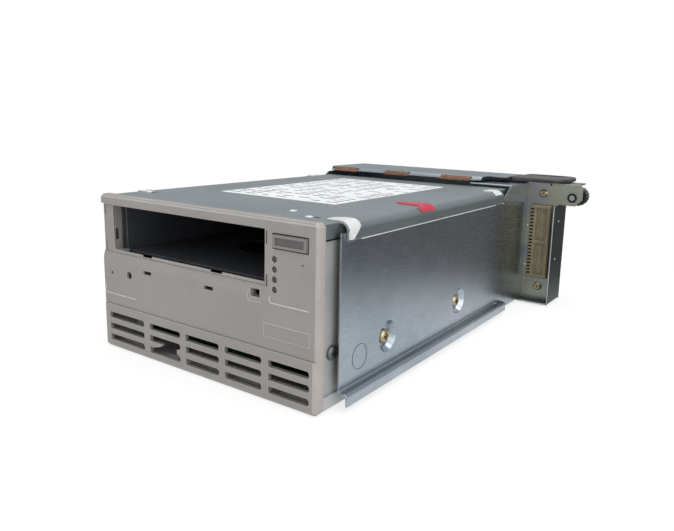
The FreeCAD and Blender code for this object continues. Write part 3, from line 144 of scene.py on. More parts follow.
looks = {
    # ABS moulding, spark-eroded mould: soft even sheen, slightly yellowed in patches
    "abs": {"colour": "#82807d", "shade": "#7a7673", "patch": 45, "grain": 0.45, "depth": 0.05,
            "roughness": (0.5, 0.62), "IOR": 1.53},
    # the button, same ABS: darker and a little smoother
    "absCap": {"colour": "#716d6b", "shade": "#686463", "patch": 20, "grain": 0.4, "depth": 0.04,
               "roughness": (0.4, 0.5), "IOR": 1.53},
    # the moulding's rounded edges and side flanks, made paler: a painted highlight
    "absPaintedHighlight": {"colour": "#98938f", "shade": "#8e8985", "patch": 12, "grain": 0.4, "depth": 0.03,
                "roughness": (0.42, 0.52), "IOR": 1.53},
    # the button's dished face, darker than its rim and polished smoother
    "absDish": {"colour": "#4c4849", "shade": "#444041", "patch": 5, "grain": 0.4, "depth": 0.02,
                "roughness": (0.3, 0.4), "IOR": 1.53},
    # raised lines on the moulding, pale along their tops: a painted highlight
    "absRidgeHighlight": {"colour": "#b3aea8", "shade": "#a5a09a", "patch": 6, "grain": 0.4, "depth": 0.02,
                  "roughness": (0.45, 0.55), "IOR": 1.53},
    # electro-galvanised sheet: grey-blue, satin, faint rolling lines along the sheet
    "zincCover": {"colour": "#949da1", "shade": "#879095", "patch": 60, "grain": 0.5, "depth": 0.01,
                  "stretch": (1.0, 18.0, 1.0), "streak": 0.5, "roughness": (0.42, 0.52), "Metallic": 0.95},
    # the tray's plates, brighter zinc: mirrors its surroundings in soft streaks
    "zincPlate": {"colour": "#b7bfc7", "shade": "#9aa4ad", "patch": 55, "grain": 0.45, "depth": 0.012,
                  "stretch": (1.0, 22.0, 1.0), "streak": 0.6, "roughness": (0.24, 0.34), "Metallic": 1.0},
    # inner sheets, same zinc gone dull: an even grey
    "zincInner": {"colour": "#8f979d", "shade": "#7c8489", "patch": 30, "grain": 0.5, "depth": 0.01,
                  "roughness": (0.4, 0.5), "Metallic": 1.0},
    # lower cover's skirt: bright zinc, scuffed dull
    "zincSkirt": {"colour": "#b4b8b8", "shade": "#a2a7a8", "patch": 25, "grain": 0.5, "depth": 0.01,
                  "roughness": (0.45, 0.6), "Metallic": 0.5},
    # pale lines along the sheets' edges and the pale colour of the punched spots: a painted highlight
    "paleZincHighlight": {"colour": "#d6d9da", "shade": "#c2c6c8", "patch": 5, "grain": 0.2, "depth": 0.01,
                    "roughness": (0.35, 0.5), "Metallic": 0.35},
    # yellow chromate on zinc: drifts between straw, olive and a pinkish grey
    "chromate": {"stops": [(0.0, "#858c8e"), (0.35, "#979a8c"), (0.6, "#9e9c8a"), (0.8, "#969394"),
                           (1.0, "#8f9898")], "patch": 22, "grain": 0.5, "depth": 0.01,
                 "roughness": (0.3, 0.42), "Metallic": 1.0},
    # the connector box's wall: the same coat, given a darker even colour as painted shade
    "chromateShaded": {"colour": "#666c6d", "shade": "#585e60", "patch": 30, "grain": 0.5, "depth": 0.01,
                     "roughness": (0.34, 0.46), "Metallic": 1.0},
    # beryllium copper strip: dull and browned by handling
    "copper": {"colour": "#95705c", "shade": "#6a4e40", "patch": 5, "grain": 0.3, "depth": 0.01,
               "roughness": (0.4, 0.55), "Metallic": 0.7},
    # gloss ABS: near black with a soft sheen
    "blackGloss": {"colour": "#1c1a1d", "shade": "#242126", "patch": 30, "grain": 0.4, "depth": 0.03,
                   "roughness": (0.28, 0.4), "IOR": 1.53},
    # glass-filled black moulding, textured mould: no sheen
    "blackMatt": {"colour": "#1b1b1d", "shade": "#232325", "patch": 25, "grain": 0.5, "depth": 0.05,
                  "roughness": (0.5, 0.65), "IOR": 1.53},
    # dark e-coated steel of the loader: swallows light behind the mouth
    "darkCoat": {"colour": "#3a3c40", "shade": "#303236", "patch": 18, "grain": 0.4, "depth": 0.02,
                 "roughness": (0.35, 0.5), "IOR": 1.5},
    # natural nylon: milky, waxy
    "nylon": {"colour": "#c4c7c6", "shade": "#b0b3b2", "patch": 9, "grain": 0.7, "depth": 0.08,
              "roughness": (0.4, 0.55), "IOR": 1.53, "Subsurface Weight": 0.15, "Subsurface Scale": 0.001},
    # red polyester film: clear even red with a low sheen
    "redFilm": {"colour": "#b02a40", "shade": "#9e2237", "patch": 14, "grain": 0.8, "depth": 0.03,
                "roughness": (0.35, 0.5), "IOR": 1.57},
    # glass-filled polyester: dull ochre beige
    "beigePbt": {"colour": "#7a7056", "shade": "#696048", "patch": 8, "grain": 0.3, "depth": 0.04,
                 "roughness": (0.45, 0.6), "IOR": 1.57},
    # zinc-plated steel screws and pins: bright, slightly grey
    "brightSteel": {"colour": "#b4b6b8", "shade": "#9a9da0", "patch": 8, "grain": 0.2, "depth": 0.01,
                    "roughness": (0.22, 0.34), "Metallic": 1.0},
    # steel screws in yellow chromate: pale brass, glinting
    "yellowZinc": {"colour": "#b9b08e", "shade": "#9a9174", "patch": 3, "grain": 0.25, "depth": 0.01,
                   "roughness": (0.24, 0.36), "Metallic": 1.0},
    # bare steel screws, weathered: dark grey
    "dullSteel": {"colour": "#6f7276", "shade": "#5a5d61", "patch": 4, "grain": 0.25, "depth": 0.01,
                  "roughness": (0.35, 0.5), "Metallic": 0.9},
    # blackened steel: near black with an oily sheen
    "blackOxide": {"colour": "#2c2c2e", "shade": "#1f1f21", "patch": 4, "grain": 0.25, "depth": 0.01,
                   "roughness": (0.3, 0.42), "Metallic": 0.8},
    # die-cast aluminium: pale, pebbled, not shiny
    "castAlloy": {"colour": "#a9aaa9", "shade": "#989a99", "patch": 22, "grain": 0.8, "depth": 0.06,
                  "roughness": (0.5, 0.65), "Metallic": 0.55},
    # turned and milled aluminium: bright, fine tool lines round the piece
    "machinedAlloy": {"colour": "#c3c4c6", "shade": "#acaeb0", "patch": 12, "grain": 0.25, "depth": 0.01,
                      "stretch": (1.0, 1.0, 8.0), "roughness": (0.2, 0.32), "Metallic": 1.0},
    # solder mask over copper: deep green, glossy
    "solderMask": {"colour": "#12452a", "shade": "#0e3a24", "patch": 6, "grain": 0.8, "depth": 0.03,
                   "roughness": (0.25, 0.35), "IOR": 1.55, "Coat Weight": 0.3},
    # clear acrylic light pipe end over an unlit lamp: reads as a dark glossy dot
    "lampEnd": {"colour": "#3a3836", "shade": "#2c2a29", "patch": 2, "grain": 0.3, "depth": 0.01,
                "roughness": (0.12, 0.2), "IOR": 1.49},
    # uncoated paper label: white, soft, a little uneven
    "paper": {"colour": "#d2d4d5", "shade": "#c4c7c8", "patch": 30, "grain": 0.6, "depth": 0.02,
              "roughness": (0.6, 0.75), "IOR": 1.45},
    # grey print on the label
    "greyPrint": {"colour": "#4a4c4e", "shade": "#3c3e40", "patch": 6, "grain": 0.5, "depth": 0.01,
                  "roughness": (0.6, 0.7), "IOR": 1.45},
}
finishes = {name: makeFinish(name, look) for name, look in looks.items()}
print("finishes made:", len(finishes))

# The solids that keep their shape: their finish, and how wide their edges are eased, in millimetres.
nodeFinish = {
    "bezel": ("abs", 0.2), "eject_button": ("absCap", 0.3), "lamp_pipes": ("lampEnd", 0),
    "panel_board": ("solderMask", 0), "chassis": ("castAlloy", 0.25), "bottom_cover": ("zincSkirt", 0.15),
    "top_cover": ("zincCover", 0.15), "cover_clips": ("nylon", 0.2), "red_tab": ("redFilm", 0.1),
    "top_label": ("paper", 0), "main_board": ("solderMask", 0), "board_chips": ("blackMatt", 0.15),
    "board_screws": ("brightSteel", 0.15), "data_connector": ("blackMatt", 0.2),
    "power_connector": ("nylon", 0.2), "deck": ("castAlloy", 0.2), "deck_screws": ("brightSteel", 0.15),
    "guide_posts": ("brightSteel", 0.1), "supply_motor": ("brightSteel", 0.3),
    "supply_chuck": ("blackMatt", 0.15), "takeup_motor": ("brightSteel", 0.3),
    "takeup_reel": ("blackMatt", 0.2),
    "guide_roller_1": ("machinedAlloy", 0.12), "guide_roller_2": ("machinedAlloy", 0.12),
    "guide_roller_3": ("machinedAlloy", 0.12), "guide_roller_4": ("machinedAlloy", 0.12),
    "roller_posts": ("brightSteel", 0.15), "head_frame": ("machinedAlloy", 0.2),
    "head_block": ("machinedAlloy", 0.2), "head_screw": ("brightSteel", 0.15),
    "head_motor": ("brightSteel", 0.25),
    "cartridge_carrier": ("darkCoat", 0.15), "cam_slide": ("darkCoat", 0.12), "loader_wheel": ("nylon", 0.08),
    "loader_pinion": ("nylon", 0.08), "loader_bracket": ("darkCoat", 0.15),
    "loader_motor": ("brightSteel", 0.25),
    "right_side_plate": ("zincPlate", 0.15), "left_side_plate": ("zincPlate", 0.15),
    "rear_hood": ("zincCover", 0.12), "emi_fingers": ("copper", 0), "rear_floor": ("zincInner", 0.12),
    "rear_panel": ("zincInner", 0.12),
    "fan_frame": ("blackMatt", 0.4), "fan_rotor": ("blackMatt", 0.2), "pull_handle": ("blackGloss", 0.9),
    "connector_box": ("chromateShaded", 0.15), "connector_bracket": ("chromate", 0.15),
    "blind_connector": ("beigePbt", 0.15), "contact_blades": ("yellowZinc", 0),
    "interface_board": ("solderMask", 0), "board_posts": ("brightSteel", 0.15),
    "captive_sleeve": ("blackOxide", 0.15), "captive_washer": ("nylon", 0.1),
    "captive_screw": ("brightSteel", 0.15),
}
bodyOf = {node: body for body, nodes in frame["record"]["behaviour"]["bodies"].items() for node in nodes}


# A finished piece: one material, riding on the node's body and standing for it.
def standFor(piece, node, finish):
    piece.data.materials.clear()
    piece.data.materials.append(finishes[finish])
    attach(piece, bodyOf[node])
    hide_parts(node)


# A CAD piece copied, its loose triangles merged and its edges eased.
def easedCopy(node, finish, edge, keepAngle=32):
    mesh = frame["nodes"][node].data.copy()
    work = bmesh.new()
    work.from_mesh(mesh)
    bmesh.ops.remove_doubles(work, verts=work.verts, dist=mergeWithin)
    for face in work.faces:
        face.smooth = True
    for line in work.edges:
        line.smooth = line.is_manifold and line.calc_face_angle(0) < math.radians(keepAngle)
    work.to_mesh(mesh)
    work.free()
    piece = bpy.data.objects.new(node + "_eased", mesh)
    bpy.context.scene.collection.objects.link(piece)
    ease = piece.modifiers.new("ease", "BEVEL")
    ease.width, ease.segments = edge / 1000, 2
    ease.limit_method, ease.angle_limit = "ANGLE", math.radians(keepAngle)
    ease.use_clamp_overlap = False
    piece.modifiers.new("flat", "WEIGHTED_NORMAL").keep_sharp = False
    standFor(piece, node, finish)
    return piece


for node, (finish, edge) in nodeFinish.items():
    if edge:
        easedCopy(node, finish, edge)
    else:
        skin = frame["nodes"][node].data.materials
        skin.clear()
        skin.append(finishes[finish])
print("eased pieces:", sum(1 for finish, edge in nodeFinish.values() if edge))

# The bezel's outer edges are rounded more than its slots and lines. Millimetres; band is the outline's width.
bezelEase = {"outer": 0.45, "inner": 0.2, "band": 1.95, "finish": "absPaintedHighlight"}
innerShare = bezelEase["inner"] / bezelEase["outer"]
bezelSkin = bpy.data.objects["bezel_eased"]
weight = bezelSkin.data.attributes.new("bevel_weight_edge", "FLOAT", "EDGE")
for edge in bezelSkin.data.edges:
    middle = sum((bezelSkin.data.vertices[i].co for i in edge.vertices), Vector()) / 2
    inset = min(bezelHigh.x - middle.x, bezelHigh.z - middle.z) * 1000
    if edge.use_edge_sharp:
        weight.data[edge.index].value = 1.0 if inset < bezelEase["band"] else innerShare
bezelSkin.modifiers["ease"].limit_method = "WEIGHT"
bezelSkin.modifiers["ease"].width = bezelEase["outer"] / 1000
# the bevels and the side flanks within the band get the paler finish: a painted highlight
bezelSkin.data.materials.append(finishes[bezelEase["finish"]])
bezelSkin.modifiers["ease"].material = 1
for face in bezelSkin.data.polygons:
    inset = (bezelHigh.x - abs(face.center.x)) * 1000
    face.material_index = int(abs(face.normal.x) > 0.5 and inset < bezelEase["band"])

# the button's dish is darker than its rim
dish = {"from": 0.15, "to": 1.5, "finish": "absDish"}   # millimetres behind the button's front
buttonSkin = bpy.data.objects["eject_button_eased"].data
buttonSkin.materials.append(finishes[dish["finish"]])
for face in buttonSkin.polygons:
    behind = (face.center.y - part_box("eject_button")[0].y) * 1000
    face.material_index = int(face.normal.y < -0.5 and dish["from"] < behind < dish["to"])

# the captive screw's steel shank carries a black moulded knob
knob = {"front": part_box("captive_washer")[1].y, "finish": "blackGloss"}
captive = bpy.data.objects["captive_screw_eased"].data
captive.materials.append(finishes[knob["finish"]])
for face in captive.polygons:
    face.material_index = int(face.center.y > knob["front"])


# A tree that takes points or lines, the inputs named here and a finish.
def newTree(name, inputs):
    tree = bpy.data.node_groups.new(name, "GeometryNodeTree")
    tree.interface.new_socket("Geometry", in_out="OUTPUT", socket_type="NodeSocketGeometry")
    for key, kind in {"Geometry": "Geometry", **inputs, "finish": "Material"}.items():
        tree.interface.new_socket(key, in_out="INPUT", socket_type="NodeSocket" + kind)
    return tree, addNode(tree, "NodeGroupInput").outputs


# Ends a tree with a real mesh in its finish.
def closeTree(tree, geometry, finish):
    real = addNode(tree, "GeometryNodeRealizeInstances", {}, {0: geometry})
    painted = addNode(tree, "GeometryNodeSetMaterial", {}, {"Geometry": real.outputs[0], "Material": finish})
    addNode(tree, "NodeGroupOutput", {}, {0: painted.outputs[0]})
    return tree


# A group socket's identifier, by its name.
def socketId(tree, name):
    return next(item.identifier for item in tree.interface.items_tree if item.name == name)


# What all the screws share: crown and recess as shares of the head's radius, the rest in millimetres.
screwForm = {"crown": 0.74, "recess": 1.15, "recessDepth": 1.1, "shankRadius": 1.3}


# One screw on every point: a domed head with a cross recess, and its shank.
def screwTree():
    tree, given = newTree("crossHeadScrews", {
        "headRadius": "Float", "headHeight": "Float", "recessWidth": "Float", "recessDepth": "Float",
        "shankRadius": "Float", "shankLength": "Float"})
    half = addNode(tree, "ShaderNodeMath", {"operation": "MULTIPLY", 1: 0.5},
                   {0: given["headHeight"]}).outputs[0]
    crown = addNode(tree, "ShaderNodeMath", {"operation": "MULTIPLY", 1: screwForm["crown"]},
                    {0: given["headRadius"]}).outputs[0]
    rim = addNode(tree, "GeometryNodeMeshCylinder", {"Vertices": 32},
                  {"Radius": given["headRadius"], "Depth": half})
    rimAt = addNode(tree, "ShaderNodeMath", {"operation": "MULTIPLY", 1: 0.25},
                    {0: given["headHeight"]}).outputs[0]
    rimUp = addNode(tree, "ShaderNodeCombineXYZ", {}, {"Z": rimAt})
    rimSet = addNode(tree, "GeometryNodeTransform", {}, {"Geometry": rim.outputs["Mesh"],
                                                         "Translation": rimUp.outputs[0]})
    domeUp = addNode(tree, "ShaderNodeCombineXYZ", {}, {"Z": half})
    dome = addNode(tree, "GeometryNodeMeshCone", {"Vertices": 32},
                   {"Radius Top": crown, "Radius Bottom": given["headRadius"], "Depth": half})
    domeSet = addNode(tree, "GeometryNodeTransform", {}, {"Geometry": dome.outputs["Mesh"],
                                                          "Translation": domeUp.outputs[0]})
    whole = addNode(tree, "GeometryNodeMeshBoolean", {"operation": "UNION"})
    tree.links.new(rimSet.outputs[0], whole.inputs["Mesh 2"])
    tree.links.new(domeSet.outputs[0], whole.inputs["Mesh 2"])
    doubleDepth = addNode(tree, "ShaderNodeMath", {"operation": "MULTIPLY", 1: 2.0},
                          {0: given["recessDepth"]}).outputs[0]
    span = addNode(tree, "ShaderNodeMath", {"operation": "MULTIPLY", 1: screwForm["recess"]},
                   {0: given["headRadius"]}).outputs[0]
    top = addNode(tree, "ShaderNodeCombineXYZ", {}, {"Z": given["headHeight"]})
    cross = addNode(tree, "GeometryNodeMeshBoolean", {"operation": "UNION"})
    for sides in (("X", "Y"), ("Y", "X")):
        extent = addNode(tree, "ShaderNodeCombineXYZ", {}, {sides[0]: span, sides[1]: given["recessWidth"],
                                                            "Z": doubleDepth})
        wing = addNode(tree, "GeometryNodeMeshCube", {}, {"Size": extent.outputs[0]})
        raised = addNode(tree, "GeometryNodeTransform", {}, {"Geometry": wing.outputs["Mesh"],
                                                             "Translation": top.outputs[0]})
        tree.links.new(raised.outputs[0], cross.inputs["Mesh 2"])
    head = addNode(tree, "GeometryNodeMeshBoolean", {"operation": "DIFFERENCE"},
                   {"Mesh 1": whole.outputs["Mesh"]})
    tree.links.new(cross.outputs["Mesh"], head.inputs["Mesh 2"])
    shank = addNode(tree, "GeometryNodeMeshCylinder", {"Vertices": 16},
                    {"Radius": given["shankRadius"], "Depth": given["shankLength"]})
    below = addNode(tree, "ShaderNodeMath", {"operation": "MULTIPLY", 1: -0.5},
                    {0: given["shankLength"]}).outputs[0]
    shankDown = addNode(tree, "ShaderNodeCombineXYZ", {}, {"Z": below})
    shankSet = addNode(tree, "GeometryNodeTransform", {}, {"Geometry": shank.outputs["Mesh"],
                                                           "Translation": shankDown.outputs[0]})
    screw = addNode(tree, "GeometryNodeJoinGeometry")
    tree.links.new(head.outputs["Mesh"], screw.inputs[0])
    tree.links.new(shankSet.outputs[0], screw.inputs[0])
    facing = addNode(tree, "GeometryNodeInputNamedAttribute", {"data_type": "FLOAT_VECTOR", "Name": "facing"})
    turn = addNode(tree, "FunctionNodeAlignRotationToVector", {"axis": "Z"}, {"Vector": facing.outputs[0]})
    spread = addNode(tree, "GeometryNodeInstanceOnPoints", {}, {"Points": given["Geometry"],
                                                                "Instance": screw.outputs[0],
                                                                "Rotation": turn.outputs[0]})
    return closeTree(tree, spread.outputs[0], given["finish"])


# Runs a tree on a mesh of points, joined by lines where given, and keeps the result as a plain mesh.
def grow(name, points, tree, values, facing=None, lines=()):
    seed = bpy.data.meshes.new(name + "Seed")
    seed.from_pydata([tuple(p) for p in points], lines, [])
    if facing:
        way = seed.attributes.new("facing", "FLOAT_VECTOR", "POINT")
        for item, direction in zip(way.data, facing):
            item.vector = direction
    holder = bpy.data.objects.new(name + "Seed", seed)
    bpy.context.scene.collection.objects.link(holder)
    modifier = holder.modifiers.new(name, "NODES")
    modifier.node_group = tree
    for key, value in values.items():
        modifier[socketId(tree, key)] = value
    ready = holder.evaluated_get(bpy.context.evaluated_depsgraph_get())
    mesh = bpy.data.meshes.new_from_object(ready)
    mesh.name = name
    bpy.data.objects.remove(holder)
    piece = bpy.data.objects.new(name, mesh)
    bpy.context.scene.collection.objects.link(piece)
    return piece


# Every solid of a grouped CAD node as its own box: lowest and highest corners.
def solidBoxes(node):
    work = bmesh.new()
    work.from_mesh(frame["nodes"][node].data)
    bmesh.ops.remove_doubles(work, verts=work.verts, dist=mergeWithin)
    left, boxes = set(work.verts), []
    while left:
        group, waiting = set(), [left.pop()]
        while waiting:
            vert = waiting.pop()
            group.add(vert)
            near = {line.other_vert(vert) for line in vert.link_edges} - group
            left -= near
            waiting.extend(near)
        boxes.append([Vector([pick(v.co[i] for v in group) for i in range(3)]) for pick in (min, max)])
    work.free()
    return boxes


# Sizes in millimetres; axis is the one that the screws lie along.
screwSets = {
    "side_screws": {"axis": 0, "finish": "yellowZinc", "headRadius": 3.6, "headHeight": 2.0,
                    "recessWidth": 1.2},
    "cover_screws": {"axis": 0, "finish": "dullSteel", "headRadius": 3.3, "headHeight": 1.9,
                     "recessWidth": 0.9},
    "bracket_screws": {"axis": 1, "finish": "yellowZinc", "headRadius": 2.9, "headHeight": 1.6,
                       "recessWidth": 0.8},
    "handle_screws": {"axis": 1, "finish": "blackOxide", "headRadius": 3.0, "headHeight": 1.6,
                      "recessWidth": 0.8},
    "fan_screws": {"axis": 1, "finish": "blackOxide", "headRadius": 3.4, "headHeight": 1.8,
                   "recessWidth": 0.9},
}
crossHeads = screwTree()
for node, screw in screwSets.items():
    points, facing = [], []
    axis = screw["axis"]
    boxes = solidBoxes(node)
    for low, high in boxes:
        middle = (low + high) / 2
        outward = [0.0, 0.0, 0.0]
        outward[axis] = -1.0 if middle[axis] < 0 or node == "bracket_screws" else 1.0
        seat = middle.copy()
        seat[axis] = (high[axis] - screw["headHeight"] / 1000 if outward[axis] > 0
                      else low[axis] + screw["headHeight"] / 1000)
        points.append(seat)
        facing.append(outward)
    length = max(high[axis] - low[axis] for low, high in boxes) - screw["headHeight"] / 1000
    piece = grow(node + "_heads", points, crossHeads, {
        "headRadius": screw["headRadius"] / 1000, "headHeight": screw["headHeight"] / 1000,
        "recessWidth": screw["recessWidth"] / 1000, "recessDepth": screwForm["recessDepth"] / 1000,
        "shankRadius": screwForm["shankRadius"] / 1000, "shankLength": length,
        "finish": finishes[screw["finish"]]}, facing)
    standFor(piece, node, screw["finish"])
print("screws set:", len(screwSets))


# A thin round wire along every line.
def wireTree():
    tree, given = newTree("wireAlongPath", {"wireRadius": "Float"})
    path = addNode(tree, "GeometryNodeMeshToCurve", {}, {"Mesh": given["Geometry"]})
    profile = addNode(tree, "GeometryNodeCurvePrimitiveCircle", {"Resolution": 8},
                      {"Radius": given["wireRadius"]})
    wire = addNode(tree, "GeometryNodeCurveToMesh", {"Fill Caps": True},
                   {"Curve": path.outputs[0], "Profile Curve": profile.outputs[0]})
    return closeTree(tree, wire.outputs[0], given["finish"])


# An extra piece that rides on the frame: detail too fine for the solids.
def addDetail(piece, finish):
    piece.data.materials.clear()
    piece.data.materials.append(finishes[finish])
    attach(piece, "frame")


# Where the lines run: raised lines on the bezel and pale lines along the sheets' edges, both painted
# highlights, a painted shadow under the cover's skirt and a thin dark ring. Millimetres from the bezel's
# lower front edge.
coverHigh = fromBezel(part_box("top_cover")[1])
boxLow, boxHigh = (fromBezel(corner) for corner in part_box("connector_box"))
hem = {"inside": 0.15, "height": 75.65, "toPlate": 1.0}   # the cover's edge, and from it to the side plate
# where the painted highlight lines sit on the connector box
boxGlint = {"inside": 0.55, "back": 0.1}                   # from the connector box's side and front
# where the black line of painted shadow under the cover's skirt sits
shadowLine = {"proud": 0.2, "below": 7.35}                   # of the casting's side, and the cover's top
ring = {"back": 28.5, "up": 20.5, "radius": 5.95, "steps": 24}
hemX, boxX = coverHigh.x - hem["inside"], boxHigh.x - boxGlint["inside"]
boxY, boxTop, boxFoot = boxLow.y + boxGlint["back"], boxHigh.z, boxLow.z
faceX = hemX - hem["toPlate"]
skirtX = fromBezel(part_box("chassis")[1]).x + shadowLine["proud"]
skirtZ = coverHigh.z - shadowLine["below"]
turns = [2 * math.pi * step / ring["steps"] for step in range(ring["steps"] + 1)]
ringPath = [(faceX, ring["back"] + ring["radius"] * math.cos(turn),
             ring["up"] + ring["radius"] * math.sin(turn))
            for turn in turns]
fineLines = {
    "bezelLines": {"radius": 0.26, "finish": "absRidgeHighlight", "slot": "warm_grey_moulding", "paths": [
        [(47.55, 0.34, 49.8), (47.55, 0.34, 47.6), (48.5, 0.34, 46.75), (69.2, 0.34, 46.75)],
        [(-71.55, 0.34, 36.0), (-71.55, 0.34, 31.8), (-70.7, 0.34, 30.95), (-46.0, 0.34, 30.95)]]},
    "edgeHighlights": {"radius": 0.22, "finish": "paleZincHighlight", "slot": "zinc_sheet", "paths": [
        [(hemX, 26.0, hem["height"]), (hemX, 177.5, hem["height"])],
        [(hemX, 188.6, hem["height"]), (hemX, 191.8, hem["height"])],
        [(-hemX, 26.0, hem["height"]), (-hemX, 177.5, hem["height"])],
        [(boxX, boxY, boxFoot + 1.2), (boxX, boxY, boxTop)],
        [(faceX + 2, boxY, boxFoot + 0.6), (boxX - 0.6, boxY, boxFoot + 0.6)]]},
    # a black line where the skirt's edge throws its shadow: a painted shadow
    "skirtShadowLine": {"radius": 0.35, "finish": "blackOxide", "slot": "zinc_sheet", "paths": [
        [(skirtX, 5.8, skirtZ), (skirtX, 15.8, skirtZ)]]},
    # a thin black ring on the side plate's face
    "darkRingLine": {"radius": 0.13, "finish": "blackOxide", "slot": "zinc_sheet", "paths": [ringPath]},
}
wires = wireTree()
for name, line in fineLines.items():
    points, lines = [], []
    for path in line["paths"]:
        lines += [(len(points) + i, len(points) + i + 1) for i in range(len(path) - 1)]
        points += [at(*point) for point in path]
    piece = grow(name, points, wires, {"wireRadius": line["radius"] / 1000,
                                       "finish": finishes[line["finish"]]},
                 lines=lines)
    addDetail(piece, line["finish"])
print("fine lines:", len(fineLines))


# A low dome on every point, as punching and welding leave on sheet.
def spotTree():
    tree, given = newTree("punchedSpots", {"spotRadius": "Float", "spotHeight": "Float"})
    ball = addNode(tree, "GeometryNodeMeshUVSphere", {"Segments": 16, "Rings": 8, "Radius": 1.0})
    extent = addNode(tree, "ShaderNodeCombineXYZ", {}, {"X": given["spotRadius"], "Y": given["spotRadius"],
                                                        "Z": given["spotHeight"]})
    facing = addNode(tree, "GeometryNodeInputNamedAttribute", {"data_type": "FLOAT_VECTOR", "Name": "facing"})
    turn = addNode(tree, "FunctionNodeAlignRotationToVector", {"axis": "Z"}, {"Vector": facing.outputs[0]})
    spread = addNode(tree, "GeometryNodeInstanceOnPoints", {}, {
        "Points": given["Geometry"], "Instance": ball.outputs["Mesh"], "Rotation": turn.outputs[0],
        "Scale": extent.outputs[0]})
    return closeTree(tree, spread.outputs[0], given["finish"])


# Sizes in millimetres; each place with the way that its spot faces.
coverZ = fromBezel(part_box("top_label")[0]).z
bracketY = fromBezel(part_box("connector_bracket")[0]).y
wallX = boxHigh.x
spots = {
    "weldSpots": {"radius": 0.75, "height": 0.22, "places": [
        ((78.6, bracketY, 55.8), (0, -1, 0)), ((78.6, bracketY, 27.1), (0, -1, 0)),
        ((wallX, 242.4, 60.3), (1, 0, 0)), ((wallX, 240.7, 33.5), (1, 0, 0))]},
    "coverBumps": {"radius": 1.9, "height": 0.4, "places": [
        ((37.6, 28.0, coverZ), (0, 0, 1)), ((-68.3, 28.2, coverZ), (0, 0, 1)),
        ((54.6, 18.6, coverZ), (0, 0, 1))]},
}
domes = spotTree()
# the domes are real relief; their pale finish is a painted highlight
for name, spot in spots.items():
    piece = grow(name, [at(*place) for place, way in spot["places"]], domes,
                 {"spotRadius": spot["radius"] / 1000, "spotHeight": spot["height"] / 1000,
                  "finish": finishes["paleZincHighlight"]}, [way for place, way in spot["places"]])
    addDetail(piece, "paleZincHighlight")
print("spots set:", len(spots))


# The label's print, in millimetres: kept is the share of bars that are there, shortest the least share of a
# bar's full width, lift keeps the print off the paper.
labelPrint = {"margin": 6.0, "columnPitch": 11.6, "rowPitch": 5.6, "barWidth": 11.0, "barDepth": 1.7,
              "thickness": 0.02, "kept": 0.8, "shortest": 0.35, "lift": 0.01, "seed": 4}


# Rows of plain bars, with no words.
def printTree():
    tree, given = newTree("labelBars", {
        "fieldWidth": "Float", "fieldDepth": "Float", "barWidth": "Float", "barDepth": "Float",
        "columns": "Int", "rows": "Int", "seed": "Int", "centre": "Vector"})
    field = addNode(tree, "GeometryNodeMeshGrid", {}, {
        "Size X": given["fieldWidth"], "Size Y": given["fieldDepth"], "Vertices X": given["columns"],
        "Vertices Y": given["rows"]})
    placed = addNode(tree, "GeometryNodeTransform", {}, {"Geometry": field.outputs["Mesh"],
                                                         "Translation": given["centre"]})
    extent = addNode(tree, "ShaderNodeCombineXYZ", {"Z": labelPrint["thickness"] / 1000},
                     {"X": given["barWidth"], "Y": given["barDepth"]})
    bar = addNode(tree, "GeometryNodeMeshCube", {}, {"Size": extent.outputs[0]})
    kept = addNode(tree, "FunctionNodeRandomValue", {"data_type": "BOOLEAN", 6: labelPrint["kept"]},
                   {8: given["seed"]})
    share = addNode(tree, "FunctionNodeRandomValue",
                    {"data_type": "FLOAT", 2: labelPrint["shortest"], 3: 1.0},
                    {8: given["seed"]})
    stretch = addNode(tree, "ShaderNodeCombineXYZ", {"Y": 1.0, "Z": 1.0}, {"X": share.outputs[1]})
    spread = addNode(tree, "GeometryNodeInstanceOnPoints", {}, {
        "Points": placed.outputs[0], "Selection": kept.outputs[3], "Instance": bar.outputs["Mesh"],
        "Scale": stretch.outputs[0]})
    return closeTree(tree, spread.outputs[0], given["finish"])


labelLow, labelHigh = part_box("top_label")
field = [(labelHigh[i] - labelLow[i]) * 1000 - 2 * labelPrint["margin"] for i in (0, 1)]
middle = (labelLow + labelHigh) / 2
middle.z = labelHigh.z + labelPrint["lift"] / 1000
piece = grow("labelBars", [middle], printTree(), {
    "fieldWidth": field[0] / 1000, "fieldDepth": field[1] / 1000, "barWidth": labelPrint["barWidth"] / 1000,
    "barDepth": labelPrint["barDepth"] / 1000, "columns": int(field[0] / labelPrint["columnPitch"]) + 1,
    "rows": int(field[1] / labelPrint["rowPitch"]) + 1, "seed": labelPrint["seed"], "centre": middle,
    "finish": finishes["greyPrint"]})
addDetail(piece, "greyPrint")
print("label printed")


# A pale floor that is white to the eye and keeps a share of its shadow near the object. To glossy rays it
# glows as a light band that fades along fadeWay, a painted reflection on the metal like a lit table's edge.
# Distances in metres.
studio = {"width": 6.0, "near": 0.15, "far": 0.55, "shadowShare": 0.25, "fadeWay": (0.747, 0.665, 0.0),
          "fadeFrom": 0.09, "fadeTo": 0.29, "bandLight": 0.95, "bandDark": 0.13, "worldLight": 0.5}
sheet = bpy.data.meshes.new("studioFloor")
half = studio["width"] / 2
sheet.from_pydata([(x, y, solidBox[0].z) for x,
                   y in ((-half, -half), (half, -half), (half, half), (-half, half))],
                  [], [(0, 1, 2, 3)])
floor = bpy.data.objects.new("studioFloor", sheet)
bpy.context.scene.collection.objects.link(floor)
pale = bpy.data.materials.new("paleSweep")
pale.use_nodes = True
paleTree = pale.node_tree
paleShader = paleTree.nodes["Principled BSDF"]
paleShader.inputs["Base Color"].default_value = hexColour("#f2f2f2")
paleShader.inputs["Roughness"].default_value = 0.9
floorPlace = addNode(paleTree, "ShaderNodeTexCoord").outputs["Object"]
